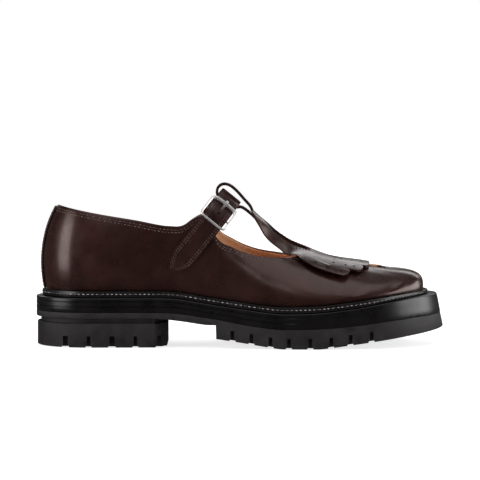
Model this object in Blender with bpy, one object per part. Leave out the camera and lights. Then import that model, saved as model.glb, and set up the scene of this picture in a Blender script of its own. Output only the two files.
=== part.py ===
# Split-toe mary jane, right shoe, standing on its sole.
# The toe points along +X, the lateral side is -Y, and the origin is under the middle of the sole.
import math

import bmesh
import bpy
from mathutils import Vector
from mathutils.bvhtree import BVHTree

# Sizes are in millimetres, and MM turns them into metres.
MM = 0.001

# Last and upper.
LAST_LENGTH = 256.0
BALL_WIDTH = 90.0
COLLAR_HEIGHT = 56.0
WALL = 2.0
GAP = 0.3

# Sole, from the floor up.
SOLE_WIDTH = 97.0
SEAT_HEIGHT = 37.5
WELT_THICKNESS = 4.2
WELT_TOE_THICKNESS = 2.4
WELT_HEEL_INSET = 3.6
INSOLE_THICKNESS = 3.0
INSOLE_GAP = 1.1
HEEL_BLOCK_HEIGHT = 16.0
HEEL_NECK_INSET = 2.4
HEEL_SET = 0.3
BREAST_PLACE = 0.305
BREAST_CHAMFER = 8.0
RIBS = (0.39, 0.74)
WELT_BACK = 6.0
WELT_TOE = 2.6
TOE_LEDGE = 5.8
TOE_SLANT = 4.2
BAND_FLARE = 0.4
EDGE_ROUND = 0.8
RIB_DEPTH = 0.7
RIB_WIDTH = 1.2
WELT_RIM = 13.0

# Tread.
NOTCH_DEPTH = 10.0
NOTCH_HEIGHT = 7.0
NOTCH_WIDTH = 2.4
NOTCH_MOUTH = 4.4
HEEL_NOTCH_COUNT = 5
HEEL_NOTCH_FIRST = 0.078
HEEL_NOTCH_PITCH = 15.6
HEEL_NOTCH_HEIGHT = 7.6

# Split toe: its middle line, its depth and its width.
CLEFT_Y = 12.3
CLEFT_LENGTH = 22.5
CLEFT_GAP = 4.0
SOLE_CLEFT_GAP = 2.6
SOLE_CLEFT_LENGTH = 17.0
SOLE_CLEFT_FLARE = 5.0

# Cross strap and buckle.
STRAP_WIDTH = 15.4
STRAP_THICKNESS = 2.0
STRAP_SLANT = 51.0
STRAP_RISE = 38.0
STRAP_HALF_SPAN = 0.389 * BALL_WIDTH
STRAP_SETTLE = 16.0
STRAP_TAIL = 24.0
STRAP_ROOT = 12.0
BUCKLE_DROP = 13.4
STRAP_POINT = 13.0
APEX_X = 0.489
APEX_Z = 1.1075
BUCKLE_LENGTH = 19.4
BUCKLE_WIDTH = 21.2
BUCKLE_WIRE = 1.6
FRONT_BAR_WIRE = 2.4
FRONT_BAR_BOW = 0.8
CENTRE_BAR_WIRE = 1.2
BUCKLE_LIFT = 1.4
CENTRE_BAR_DROP = 1.0
PRONG_WIDTH = 1.8
PRONG_THICKNESS = 1.2
TAB_WIDTH = 10.0
TAB_THICKNESS = 1.0
TAB_REACH = 5.0

# T-strap and fringe, one piece of leather.
LOOP_WIDTH = 9.0
LOOP_REACH = 2.5
KILTIE_WIDTH = 84.0
KILTIE_THICKNESS = 1.8
KILTIE_LIFT = 0.8
KILTIE_EDGE_LIFT = 1.2
KILTIE_ROLL = 14.0
FRINGE_ROLL = 8.0
TEARDROP_START = 0.559
TEARDROP_END = 0.682
TEARDROP_WIDTH = 9.6
FINGER_COUNT = 6
FINGER_START = 0.758
FINGER_END = 0.856
FINGER_SWEEP = 13.0
FINGER_GAP = 0.9
FINGER_CHAMFER = 1.4

BACKSTAY_WIDTH = 9.0
BACKSTAY_THICKNESS = 1.2

SOLE_FRONT_REACH = WELT_TOE + TOE_LEDGE + TOE_SLANT
HEEL_X = -(LAST_LENGTH + SOLE_FRONT_REACH - WELT_BACK - BAND_FLARE) / 2
SOLE_BACK = HEEL_X - WELT_BACK
WELT_LENGTH = LAST_LENGTH + WELT_BACK + WELT_TOE

# Half widths of the welt, from the heel's middle line, as shares of SOLE_WIDTH.
SOLE_SIDES = (
    # place, lateral, medial
    (0.00, 0.382, 0.382),
    (0.14, 0.382, 0.382),
    (0.24, 0.377, 0.370),
    (0.33, 0.368, 0.340),
    (0.42, 0.392, 0.315),
    (0.52, 0.455, 0.347),
    (0.61, 0.508, 0.420),
    (0.69, 0.521, 0.468),
    (0.76, 0.511, 0.479),
    (0.84, 0.474, 0.470),
    (0.92, 0.422, 0.443),
    (1.00, 0.340, 0.412),
)
AXIS_Y = SOLE_WIDTH * (0.521 - 0.479) / 2
HEEL_ROUND = 0.14
TOE_ROUND = {"lateral": (0.20, 2.2), "medial": (0.12, 2.4)}

# Heights along the sole as shares of SEAT_HEIGHT: feather line, top and bottom of the outsole.
SOLE_HEIGHTS = (
    # place, seat, band, tread
    (0.00, 1.000, 0.618, 0.512),
    (0.30, 1.000, 0.618, 0.512),
    (0.36, 0.985, 0.600, 0.476),
    (0.43, 0.910, 0.535, 0.406),
    (0.462, 0.878, 0.503, 0.158),
    (0.52, 0.822, 0.430, 0.104),
    (0.58, 0.768, 0.368, 0.040),
    (0.625, 0.742, 0.345, 0.000),
    (0.715, 0.760, 0.355, 0.000),
    (0.80, 0.825, 0.400, 0.070),
    (0.87, 0.890, 0.460, 0.136),
    (0.94, 0.945, 0.515, 0.206),
    (1.00, 0.965, 0.545, 0.262),
    (1.04, 0.975, 0.560, 0.300),
)
TREAD_STEP = 0.458
FLAT_START = 0.625
FLAT_END = 0.715

# Places of the forefoot notches as shares of the welt's length.
FORE_NOTCHES = (0.499, 0.5465, 0.5945, 0.6405, 0.694, 0.7465, 0.795, 0.848)

# Sections of the upper from heel to toe. Lengths are shares of LAST_LENGTH (x, top_x),
# BALL_WIDTH (lateral, medial, top_lat, top_med) and COLLAR_HEIGHT (top_z, med_drop, lean, swell).
# rise, run and drop are shares of the section's own height and reach.
SECTIONS = (
    # x, lateral, medial, top_x, top_lat, top_med, top_z, med_drop, rise, lean, run, swell, drop
    (0.000, 0.000, 0.000, 0.032, 0.000, 0.000, 1.000, 0.000, 0.32, 0.070, 1.00, 0.036, 0.31),
    (0.016, 0.155, 0.155, 0.045, 0.128, 0.128, 0.993, 0.025, 0.32, 0.068, 1.00, 0.036, 0.31),
    (0.059, 0.283, 0.283, 0.078, 0.228, 0.228, 0.962, 0.052, 0.33, 0.066, 0.90, 0.040, 0.31),
    (0.129, 0.345, 0.345, 0.141, 0.280, 0.280, 0.907, 0.064, 0.34, 0.055, 0.80, 0.042, 0.32),
    (0.219, 0.355, 0.339, 0.238, 0.322, 0.322, 0.835, 0.066, 0.35, 0.050, 0.60, 0.040, 0.33),
    (0.316, 0.345, 0.306, 0.328, 0.345, 0.345, 0.765, 0.066, 0.36, 0.045, 0.50, 0.035, 0.34),
    (0.375, 0.360, 0.288, 0.368, 0.345, 0.338, 0.785, 0.060, 0.38, 0.045, 0.50, 0.035, 0.34),
    (0.406, 0.372, 0.283, 0.396, 0.328, 0.324, 0.870, 0.040, 0.38, 0.045, 0.50, 0.035, 0.34),
    (0.434, 0.389, 0.283, 0.426, 0.322, 0.320, 0.880, 0.015, 0.38, 0.045, 0.50, 0.035, 0.34),
    (0.461, 0.405, 0.291, 0.449, 0.355, 0.345, 0.650, -0.045, 0.40, 0.045, 0.50, 0.035, 0.32),
    (0.512, 0.444, 0.330, 0.495, 0.365, 0.360, 0.515, -0.035, 0.38, 0.045, 0.52, 0.030, 0.29),
    (0.582, 0.489, 0.405, 0.551, 0.352, 0.356, 0.425, -0.022, 0.32, 0.045, 0.50, 0.020, 0.27),
    (0.660, 0.512, 0.460, 0.613, 0.311, 0.322, 0.392, -0.008, 0.27, 0.042, 0.48, 0.010, 0.28),
    (0.738, 0.502, 0.461, 0.648, 0.240, 0.270, 0.390, 0.000, 0.24, 0.042, 0.48, 0.000, 0.31),
    (0.809, 0.467, 0.450, 0.664, 0.172, 0.212, 0.398, 0.000, 0.23, 0.042, 0.49, 0.000, 0.35),
    (0.871, 0.402, 0.430, 0.672, 0.125, 0.168, 0.406, 0.000, 0.26, 0.040, 0.51, 0.000, 0.39),
    (0.926, 0.306, 0.402, 0.676, 0.090, 0.134, 0.411, 0.000, 0.35, 0.038, 0.55, 0.000, 0.47),
)

# The two lobes of the toe and the split between them, from lateral to medial.
LOBES = (
    # x, y, top_y, rise, lean, run, drop
    (0.968, -0.190, -0.064, 0.56, 0.040, 0.60, 0.56),
    (0.991, -0.070, -0.040, 0.80, 0.048, 0.64, 0.63),
    (0.994, 0.030, -0.020, 0.85, 0.050, 0.65, 0.65),
    (0.979, 0.088, -0.005, 0.83, 0.030, 0.62, 0.62),
    (0.945, None, 0.010, 0.80, 0.012, 0.56, 0.52),
    (0.924, None, 0.022, 0.85, 0.012, 0.65, 0.50),
    (None, None, 0.032, 0.85, 0.012, 0.70, 0.50),
    (0.924, None, 0.042, 0.85, 0.012, 0.65, 0.50),
    (0.945, None, 0.054, 0.80, 0.012, 0.56, 0.52),
    (0.981, 0.186, 0.066, 0.83, 0.030, 0.62, 0.62),
    (1.000, 0.250, 0.082, 0.85, 0.050, 0.65, 0.65),
    (0.992, 0.325, 0.100, 0.78, 0.048, 0.63, 0.62),
    (0.964, 0.376, 0.117, 0.54, 0.040, 0.58, 0.54),
)
THROAT_X = 0.680
THROAT_Z = 0.416

# The slotted T-strap and its fringe, from the loop to the tips of the fringe: the height of
# the top face as a share of COLLAR_HEIGHT, the others as shares of KILTIE_WIDTH.
KILTIE_SECTIONS = (
    # x, top, half_width, radius
    (0.5200, 1.095, 0.058, 1.000),
    (0.5415, 0.972, 0.082, 0.450),
    (0.5630, 0.872, 0.112, 0.270),
    (0.5848, 0.785, 0.138, 0.210),
    (0.6059, 0.692, 0.148, 0.190),
    (0.6371, 0.586, 0.166, 0.230),
    (0.6605, 0.527, 0.246, 0.350),
    (0.6918, 0.472, 0.366, 0.425),
    (0.7219, 0.420, 0.436, 0.480),
    (0.7535, 0.370, 0.486, 0.510),
    (0.7746, 0.348, 0.508, 0.522),
    (0.8168, 0.322, 0.520, 0.545),
    (0.8559, 0.296, 0.524, 0.565),
)

# The loop round the cross strap, seen from the side: shares of STRAP_WIDTH across the strap,
# to the front, and away from the foot, from the middle of the strap's top face.
LOOP = (
    # across, out
    (0.688, -0.143),
    (0.474, -0.299),
    (0.279, -0.377),
    (-0.052, -0.455),
    (-0.357, -0.461),
    (-0.578, -0.338),
    (-0.688, -0.123),
    (-0.612, 0.125),
    (-0.335, 0.268),
    (0.078, 0.264),
    (0.545, 0.186),
    (0.893, 0.130),
)

SECTION_STEPS = 2
UPPER_LEVELS = 12


def clear_scene():
    for obj in list(bpy.data.objects):
        bpy.data.objects.remove(obj, do_unlink=True)


def make_material(name, colour, roughness, metallic=0.0):
    material = bpy.data.materials.new(name)
    material.use_nodes = True
    shader = material.node_tree.nodes["Principled BSDF"]
    shader.inputs["Base Color"].default_value = (*colour, 1.0)
    shader.inputs["Roughness"].default_value = roughness
    shader.inputs["Metallic"].default_value = metallic
    return material


def through(rows, column, at):
    """A smooth curve through one column of a table whose first column is the place."""
    last = len(rows) - 1
    at = min(max(at, rows[0][0]), rows[last][0])
    k = 0
    while k < last - 1 and at > rows[k + 1][0]:
        k += 1

    def slope(i):
        before = rows[max(i - 1, 0)]
        after = rows[min(i + 1, last)]
        return (after[column] - before[column]) / (after[0] - before[0])

    step = rows[k + 1][0] - rows[k][0]
    t = (at - rows[k][0]) / step
    return hermite(rows[k][column], rows[k + 1][column], slope(k) * step, slope(k + 1) * step, t)


def hermite(start, end, start_slope, end_slope, t):
    a = 2 * t**3 - 3 * t**2 + 1
    b = 3 * t**2 - 2 * t**3
    c = t**3 - 2 * t**2 + t
    d = t**3 - t**2
    return a * start + b * end + c * start_slope + d * end_slope


def smoothstep(start, end, value):
    t = min(max((value - start) / (end - start), 0.0), 1.0)
    return t * t * (3 - 2 * t)


def rounded(t, power):
    t = min(max(t, 0.0), 1.0)
    return (1 - (1 - t) ** power) ** (1 / power)


def place_of(x):
    return (x - SOLE_BACK) / WELT_LENGTH


def seat_z(x):
    return SEAT_HEIGHT * through(SOLE_HEIGHTS, 1, place_of(x))


def band_z(x):
    return SEAT_HEIGHT * through(SOLE_HEIGHTS, 2, place_of(x))


def tread_z(x):
    place = place_of(x)
    if place < TREAD_STEP:
        rows = [row for row in SOLE_HEIGHTS if row[0] < TREAD_STEP]
        return SEAT_HEIGHT * through(rows, 3, place)
    if FLAT_START <= place <= FLAT_END:
        return 0.0
    rows = [row for row in SOLE_HEIGHTS if row[0] > TREAD_STEP]
    return SEAT_HEIGHT * max(through(rows, 3, place), 0.0)


def welt_thickness(x):
    return WELT_THICKNESS + (WELT_TOE_THICKNESS - WELT_THICKNESS) * smoothstep(0.80, 1.0, place_of(x))


def welt_side(place, side):
    """Half width of the welt on one side, measured from the heel's middle line."""
    column = 1 if side == "lateral" else 2
    sign = -1 if side == "lateral" else 1
    width = sign * SOLE_WIDTH * through(SOLE_SIDES, column, place)
    width *= rounded(place / HEEL_ROUND, 2.0)
    toe_round, power = TOE_ROUND[side]
    return CLEFT_Y + (width - CLEFT_Y) * rounded((1 - place) / toe_round, power)


def places(count, start=0.0, end=1.0, extra=()):
    found = [start + (end - start) * (1 - math.cos(math.pi * k / count)) / 2 for k in range(count + 1)]
    return sorted(found + list(extra))


def outline_points(shares, narrowing=None):
    """Lateral and medial points of the welt's edge, with their outward normals."""
    sides = {}
    for side in ("lateral", "medial"):
        points = []
        for place in shares:
            y = welt_side(place, side)
            if narrowing:
                y *= narrowing(place)
            points.append(Vector((SOLE_BACK + place * WELT_LENGTH, AXIS_Y + y)))
        sides[side] = points
    normals = {"lateral": [], "medial": []}
    last = len(shares) - 1
    for side, sign, other in (("lateral", 1, "medial"), ("medial", -1, "lateral")):
        line = sides[side]
        for k in range(last + 1):
            before = line[max(k - 1, 0)]
            after = line[min(k + 1, last)]
            is_tip = k in (0, last) and (line[k] - sides[other][k]).length < 1e-6
            if is_tip and k == 0:
                before = sides[other][1]
            elif is_tip:
                after = sides[other][last - 1]
            along = (after - before).normalized() * sign
            normals[side].append(Vector((along.y, -along.x)))
    return sides, normals


def add_object(name, points, faces, material):
    mesh = bpy.data.meshes.new(name)
    mesh.from_pydata([tuple(Vector(p) * MM) for p in points], [], faces)
    body = bmesh.new()
    body.from_mesh(mesh)
    bmesh.ops.remove_doubles(body, verts=body.verts, dist=0.002 * MM)
    loose = [v for v in body.verts if not v.link_faces]
    bmesh.ops.delete(body, geom=loose, context="VERTS")
    bmesh.ops.recalc_face_normals(body, faces=body.faces)
    body.to_mesh(mesh)
    body.free()
    obj = bpy.data.objects.new(name, mesh)
    bpy.context.collection.objects.link(obj)
    if material:
        mesh.materials.append(material)
    mesh.shade_smooth()
    mesh.set_sharp_from_angle(angle=math.radians(35))
    return obj


def add_slab(name, rows, shares, material, narrowing=None):
    """A layer of the sole. Each row has an offset from the welt's edge and a height, by place and x."""
    sides, normals = outline_points(shares, narrowing)
    count = len(shares)
    points = []
    for offset, height in rows:
        for side in ("lateral", "medial"):
            for k, place in enumerate(shares):
                spot = sides[side][k] + normals[side][k] * offset(place)
                points.append((spot.x, spot.y, height(spot.x)))
    faces = []
    for r in range(len(rows)):
        lateral = 2 * count * r
        medial = lateral + count
        if r in (0, len(rows) - 1):
            for k in range(count - 1):
                faces.append((lateral + k, lateral + k + 1, medial + k + 1, medial + k))
        if r == len(rows) - 1:
            continue
        above = 2 * count
        for k in range(count - 1):
            for base in (lateral, medial):
                faces.append((base + k, base + k + 1, base + k + 1 + above, base + k + above))
        for k in (0, count - 1):
            faces.append((lateral + k, medial + k, medial + k + above, lateral + k + above))
    return add_object(name, points, faces, material)


def add_cut(obj, cutter):
    """Cuts with a helper object, which stays out of the model."""
    cutter.hide_render = True
    cutter.display_type = "WIRE"
    modifier = obj.modifiers.new("cut_" + cutter.name, "BOOLEAN")
    modifier.operation = "DIFFERENCE"
    modifier.object = cutter
    modifier.solver = "EXACT"


def ledge(place):
    return TOE_LEDGE * smoothstep(0.80, 1.0, place)


def slant(place):
    return TOE_SLANT * smoothstep(0.76, 1.0, place)


def cleft_cutter(name, gap, root_x, low, high):
    """A slot with a round root that flares to the front, for everything under the upper."""
    front = SOLE_BACK + WELT_LENGTH + TOE_LEDGE + TOE_SLANT + 5
    half = gap / 2
    outline = []
    for k in range(7):
        angle = math.pi / 2 + math.pi * k / 6
        outline.append((root_x + half + half * math.cos(angle), half * math.sin(angle)))
    steps = 6
    for k in range(1, steps + 1):
        t = k / steps
        x = root_x + half + (front - root_x - half) * t
        flare = SOLE_CLEFT_FLARE * max(0.0, (t - 0.35) / 0.65) ** 2
        outline.append((x, -half - flare))
    outline += [(x, -y) for x, y in outline[:6:-1]]
    count = len(outline)
    points = [(x, AXIS_Y + CLEFT_Y + y, low) for x, y in outline]
    points += [(x, AXIS_Y + CLEFT_Y + y, high) for x, y in outline]
    faces = [tuple(range(count)), tuple(range(count, 2 * count))]
    faces += [(k, (k + 1) % count, count + (k + 1) % count, count + k) for k in range(count)]
    return add_object(name, points, faces, None)


def notch_cutter(name, spots, height):
    """Side notches of the tread. A spot has x, the edge's y and the height of its bottom."""
    wide, narrow = NOTCH_MOUTH / 2, NOTCH_WIDTH / 2
    profile = [(-wide, -3.0), (wide, -3.0), (wide, 0.0), (narrow, NOTCH_MOUTH - NOTCH_WIDTH)]
    profile += [(narrow, height), (-narrow, height), (-narrow, NOTCH_MOUTH - NOTCH_WIDTH), (-wide, 0.0)]
    count = len(profile)
    points = []
    faces = []
    for x, edge, bottom in spots:
        side = -1 if edge < AXIS_Y else 1
        base = len(points)
        for y in (edge - side * NOTCH_DEPTH, edge + side * NOTCH_DEPTH):
            points += [(x + px, y, bottom + pz) for px, pz in profile]
        faces += [tuple(range(base, base + count)), tuple(range(base + count, base + 2 * count))]
        for k in range(count):
            after = (k + 1) % count
            faces.append((base + k, base + after, base + count + after, base + count + k))
    return add_object(name, points, faces, None)


def upper_rows():
    """The sections in order round the shoe: heel, lateral side, lobes, medial side."""
    rows = []

    def add(x, y, top_x, top_y, top_z, shape, x_is_share=True):
        px = HEEL_X + x * LAST_LENGTH if x_is_share else x
        tx = HEEL_X + top_x * LAST_LENGTH
        rows.append((px, y, tx, BALL_WIDTH * top_y, SEAT_HEIGHT + COLLAR_HEIGHT * top_z, *shape))

    for row in SECTIONS:
        add(row[0], -BALL_WIDTH * row[1], row[3], -row[4], row[6], row[8:])
    root_x = HEEL_X + LAST_LENGTH - CLEFT_LENGTH
    for k, (x, y, top_y, rise, lean, run, drop) in enumerate(LOBES):
        shape = (rise, lean, run, 0.0, drop)
        if x is None:
            add(root_x, CLEFT_Y, THROAT_X, top_y, THROAT_Z, shape, False)
        elif y is None:
            side = -1 if k < len(LOBES) // 2 else 1
            inside = 0.9 if x < 0.93 else 1.0
            add(x, CLEFT_Y + side * inside * CLEFT_GAP / 2, THROAT_X, top_y, THROAT_Z, shape)
        else:
            add(x, BALL_WIDTH * y, THROAT_X, top_y, THROAT_Z, shape)
    for row in SECTIONS[:0:-1]:
        add(row[0], BALL_WIDTH * row[2], row[3], row[5], row[6] - row[7], row[8:])
    return rows


def closed_curve(rows, steps):
    """Smooth values between the rows of a closed table, by distance in plan."""
    count = len(rows)

    def gap(i):
        a, b = rows[i % count], rows[(i + 1) % count]
        return max(math.hypot(b[0] - a[0], b[1] - a[1]), 0.5)

    def slope(i, column):
        before, after = rows[(i - 1) % count], rows[(i + 1) % count]
        here = rows[i % count]
        h0, h1 = gap(i - 1), gap(i)
        left = (here[column] - before[column]) / h0
        right = (after[column] - here[column]) / h1
        return (left * h1 + right * h0) / (h0 + h1)

    found = []
    for i in range(count):
        for step in range(steps):
            t = step / steps
            length = gap(i)
            after = rows[(i + 1) % count]
            values = []
            for c in range(len(rows[0])):
                start, end = slope(i, c) * length, slope(i + 1, c) * length
                values.append(hermite(rows[i][c], after[c], start, end, t))
            found.append(values)
    return found


def bezier(p0, p1, p2, p3, t):
    s = 1 - t
    return p0 * s**3 + p1 * (3 * s * s * t) + p2 * (3 * s * t * t) + p3 * t**3


def upper_grid(steps, levels):
    """Outer face of the upper: one column of points for each station, feather line to topline."""
    stations = closed_curve(upper_rows(), steps)
    count = len(stations)
    columns = []
    for i, values in enumerate(stations):
        x, y, top_x, top_y, top_z, rise, lean, run, swell, drop = values
        before, after = stations[i - 1], stations[(i + 1) % count]
        along = Vector((after[0] - before[0], after[1] - before[1])).normalized()
        out = Vector((along.y, -along.x, 0))
        foot = Vector((x, AXIS_Y + y, seat_z(x) + GAP))
        top = Vector((top_x, AXIS_Y + top_y, top_z))
        height = top.z - foot.z
        low = foot + Vector((0, 0, rise * height)) + out * lean * COLLAR_HEIGHT
        high = top + (foot - top) * run + out * swell * COLLAR_HEIGHT
        high.z = top.z - drop * height
        columns.append([bezier(foot, low, high, top, j / (levels - 1)) for j in range(levels)])
    return columns


def grid_normals(columns):
    count = len(columns)
    levels = len(columns[0])
    normals = []
    for i in range(count):
        line = []
        for j in range(levels):
            around = columns[(i + 1) % count][j] - columns[i - 1][j]
            up = columns[i][min(j + 1, levels - 1)] - columns[i][max(j - 1, 0)]
            line.append(around.cross(up).normalized())
        normals.append(line)
    return normals


def add_upper(columns, material):
    normals = grid_normals(columns)
    count = len(columns)
    levels = len(columns[0])
    points = [p for column in columns for p in column]
    for column, line in zip(columns, normals):
        for j, (p, n) in enumerate(zip(column, line)):
            if j == 0:
                flat = Vector((n.x, n.y, 0)).normalized()
                points.append(p - flat * WALL)
            else:
                points.append(p - n * WALL)
    inner = count * levels
    faces = []
    for i in range(count):
        a, b = i * levels, (i + 1) % count * levels
        for j in range(levels - 1):
            faces.append((a + j, b + j, b + j + 1, a + j + 1))
            faces.append((inner + a + j, inner + a + j + 1, inner + b + j + 1, inner + b + j))
        faces.append((a, inner + a, inner + b, b))
        top = levels - 1
        faces.append((a + top, b + top, inner + b + top, inner + a + top))
    return add_object("upper", points, faces, material)


def add_sole(rubber, edge):
    shares = places(28)
    low = -HEEL_BLOCK_HEIGHT
    slot_root = HEEL_X + LAST_LENGTH - SOLE_CLEFT_LENGTH
    slot = cleft_cutter("toe_slot", SOLE_CLEFT_GAP, slot_root, low, SEAT_HEIGHT + COLLAR_HEIGHT)

    def set_in(p):
        return -WELT_HEEL_INSET * (1 - smoothstep(0.01, 0.14, p))

    welt_rows = (
        (lambda p: set_in(p) - EDGE_ROUND, lambda x: seat_z(x) - welt_thickness(x)),
        (set_in, lambda x: seat_z(x) - welt_thickness(x) + EDGE_ROUND),
        (set_in, lambda x: seat_z(x) - EDGE_ROUND),
        (lambda p: set_in(p) - EDGE_ROUND, seat_z),
    )
    welt = add_slab("welt", welt_rows, shares, edge)
    add_cut(welt, slot)
    hole_rows = (
        (lambda p: -WELT_RIM, lambda x: seat_z(x) - 2 * WELT_THICKNESS),
        (lambda p: -WELT_RIM, lambda x: seat_z(x) + WELT_THICKNESS),
    )
    hole = add_slab("welt_hole", hole_rows, places(12, 0.05, 0.82), None)
    add_cut(welt, hole)

    def between(fraction):
        def height(x):
            bottom = band_z(x) + GAP
            top = seat_z(x) - welt_thickness(x) - GAP
            return bottom + (top - bottom) * fraction
        return height

    def side(level, inset=0.0, rib=0.0):
        def offset(p):
            depth = rib * (1 - smoothstep(0.60, 0.70, p))
            return BAND_FLARE + ledge(p) + slant(p) * level - inset - depth
        return offset

    thickness = SEAT_HEIGHT * (1 - 0.618) - WELT_THICKNESS
    half_rib = RIB_WIDTH / 2 / thickness
    band_level = 0.55
    mid_rows = [(side(band_level), between(0.0))]
    for place in RIBS:
        for shift, rib in ((-half_rib, 0.0), (0.0, RIB_DEPTH), (half_rib, 0.0)):
            fraction = place + shift
            mid_rows.append((side(band_level * (1 - fraction), 0.0, rib), between(fraction)))
    mid_rows.append((side(0.0), between(1 - EDGE_ROUND / thickness)))
    mid_rows.append((side(0.0, EDGE_ROUND), between(1.0)))
    midsole = add_slab("midsole", mid_rows, shares, rubber)
    add_cut(midsole, slot)

    step = 0.0006
    tread_shares = places(28, extra=(TREAD_STEP - step, TREAD_STEP + step, FLAT_START, FLAT_END))
    out_rows = (
        (side(1.0, EDGE_ROUND), tread_z),
        (side(1.0), lambda x: tread_z(x) + EDGE_ROUND),
        (side(band_level), band_z),
    )
    outsole = add_slab("outsole", out_rows, tread_shares, rubber)
    add_cut(outsole, slot)
    spots = []
    for place in FORE_NOTCHES:
        for name in ("lateral", "medial"):
            x = SOLE_BACK + place * WELT_LENGTH
            spots.append((x, AXIS_Y + welt_side(place, name), tread_z(x)))
    add_cut(outsole, notch_cutter("fore_notches", spots, NOTCH_HEIGHT))

    breast_end = BREAST_PLACE + BREAST_CHAMFER / WELT_LENGTH
    heel_shares = places(16, 0.0, BREAST_PLACE, extra=(breast_end,))

    def narrowing(place):
        return 1 - 0.45 * max(0.0, (place - BREAST_PLACE) / (breast_end - BREAST_PLACE))

    heel_rows = (
        (lambda p: -HEEL_SET - EDGE_ROUND, lambda x: 0.0),
        (lambda p: -HEEL_SET, lambda x: EDGE_ROUND),
        (lambda p: -HEEL_SET, lambda x: HEEL_BLOCK_HEIGHT),
        (lambda p: -HEEL_SET - HEEL_NECK_INSET, lambda x: HEEL_BLOCK_HEIGHT + GAP),
        (lambda p: -HEEL_SET - HEEL_NECK_INSET, lambda x: tread_z(x) - GAP),
    )
    heel = add_slab("heel_block", heel_rows, heel_shares, rubber, narrowing)
    spots = []
    for k in range(HEEL_NOTCH_COUNT):
        place = HEEL_NOTCH_FIRST + k * HEEL_NOTCH_PITCH / WELT_LENGTH
        for name in ("lateral", "medial"):
            spots.append((SOLE_BACK + place * WELT_LENGTH, AXIS_Y + welt_side(place, name), 0.0))
    add_cut(heel, notch_cutter("heel_notches", spots, HEEL_NOTCH_HEIGHT))


def loop_caps(columns_count, steps):
    """Faces that fill the feather line, with the two lobes filled on their own."""
    root = steps * (len(SECTIONS) + len(LOBES) // 2)
    tip = steps * (len(SECTIONS) + 2)
    reach = steps * 3
    behind = tip - reach - steps
    count = columns_count
    faces = [(0, 1, count - 1)]
    for i in range(1, behind):
        faces.append((i, i + 1, count - i - 1, count - i))
    for k in range(1, reach):
        faces.append((tip - k - 1, tip - k, tip + k, tip + k + 1))
        faces.append((count - tip + k + 1, count - tip + k, count - tip - k, count - tip - k - 1))
    faces.append((tip - 1, tip, tip + 1))
    faces.append((count - tip + 1, count - tip, count - tip - 1))
    faces.append((*range(behind, tip - reach + 1), *range(tip + reach, root + 1)))
    faces.append((*range(root, count - tip - reach + 1), *range(count - tip + reach, count - behind + 1)))
    faces.append((behind, root, count - behind))
    return faces


def add_insole(columns, steps, material):
    normals = grid_normals(columns)
    count = len(columns)
    points = []
    for lift in (0.0, INSOLE_THICKNESS):
        for column, line in zip(columns, normals):
            flat = Vector((line[0].x, line[0].y, 0)).normalized()
            spot = column[0] - flat * (WALL + INSOLE_GAP)
            points.append((spot.x, spot.y, seat_z(spot.x) + GAP + lift))
    caps = loop_caps(count, steps)
    faces = list(caps) + [tuple(count + k for k in face) for face in caps]
    faces += [(k, (k + 1) % count, count + (k + 1) % count, count + k) for k in range(count)]
    return add_object("insole", points, faces, material)


def upper_tree(columns):
    """The upper's outer face, for draping what lies on it."""
    count = len(columns)
    levels = len(columns[0])
    points = [p for column in columns for p in column]
    faces = []
    for i in range(count):
        a, b = i * levels, (i + 1) % count * levels
        for j in range(levels - 1):
            faces.append((a + j, b + j, b + j + 1))
            faces.append((a + j, b + j + 1, a + j + 1))
    return BVHTree.FromPolygons(points, faces)


def add_backstay(tree, material):
    """Narrow strip up the back seam, from the welt to the collar."""
    inner, outer = [], []
    across = 4
    levels = 11
    bottom = SEAT_HEIGHT + 2 * GAP
    top = SEAT_HEIGHT + COLLAR_HEIGHT - 1.0
    for j in range(levels):
        z = bottom + (top - bottom) * j / (levels - 1)
        for k in range(across + 1):
            y = AXIS_Y + BACKSTAY_WIDTH * (k / across - 0.5)
            hit, normal, _, _ = tree.ray_cast(Vector((HEEL_X - LAST_LENGTH, y, z)), Vector((1, 0, 0)))
            if normal.x > 0:
                normal = -normal
            inner.append(hit + normal * GAP)
            outer.append(hit + normal * (GAP + BACKSTAY_THICKNESS))
    return add_sheet("heel_strip", inner, outer, across + 1, levels, material)


def add_sheet(name, inner, outer, across, along, material, openings=()):
    """A closed sheet between two grids of points, with rows of the given width.

    Openings are cells, as row and column, that are left out of the sheet.
    """
    base = len(inner)
    cells = [(j, k) for j in range(along - 1) for k in range(across - 1) if (j, k) not in openings]
    faces = []
    edges = {}
    for j, k in cells:
        a = j * across + k
        corners = (a, a + 1, a + 1 + across, a + across)
        faces.append(corners)
        faces.append(tuple(base + c for c in reversed(corners)))
        for edge in zip(corners, corners[1:] + corners[:1]):
            key = tuple(sorted(edge))
            edges[key] = None if key in edges else edge
    for edge in edges.values():
        if edge:
            a, b = edge
            faces.append((b, a, base + a, base + b))
    return add_object(name, inner + outer, faces, material)


def strap_frame():
    """Apex of the cross strap with its three directions: down the foot, across the strap, outward."""
    slant = math.radians(STRAP_SLANT)
    down = Vector((-math.cos(slant), 0, -math.sin(slant)))
    width = Vector((math.sin(slant), 0, -math.cos(slant)))
    apex = Vector((HEEL_X + APEX_X * LAST_LENGTH, AXIS_Y, SEAT_HEIGHT + APEX_Z * COLLAR_HEIGHT))
    return apex, down, width


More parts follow.
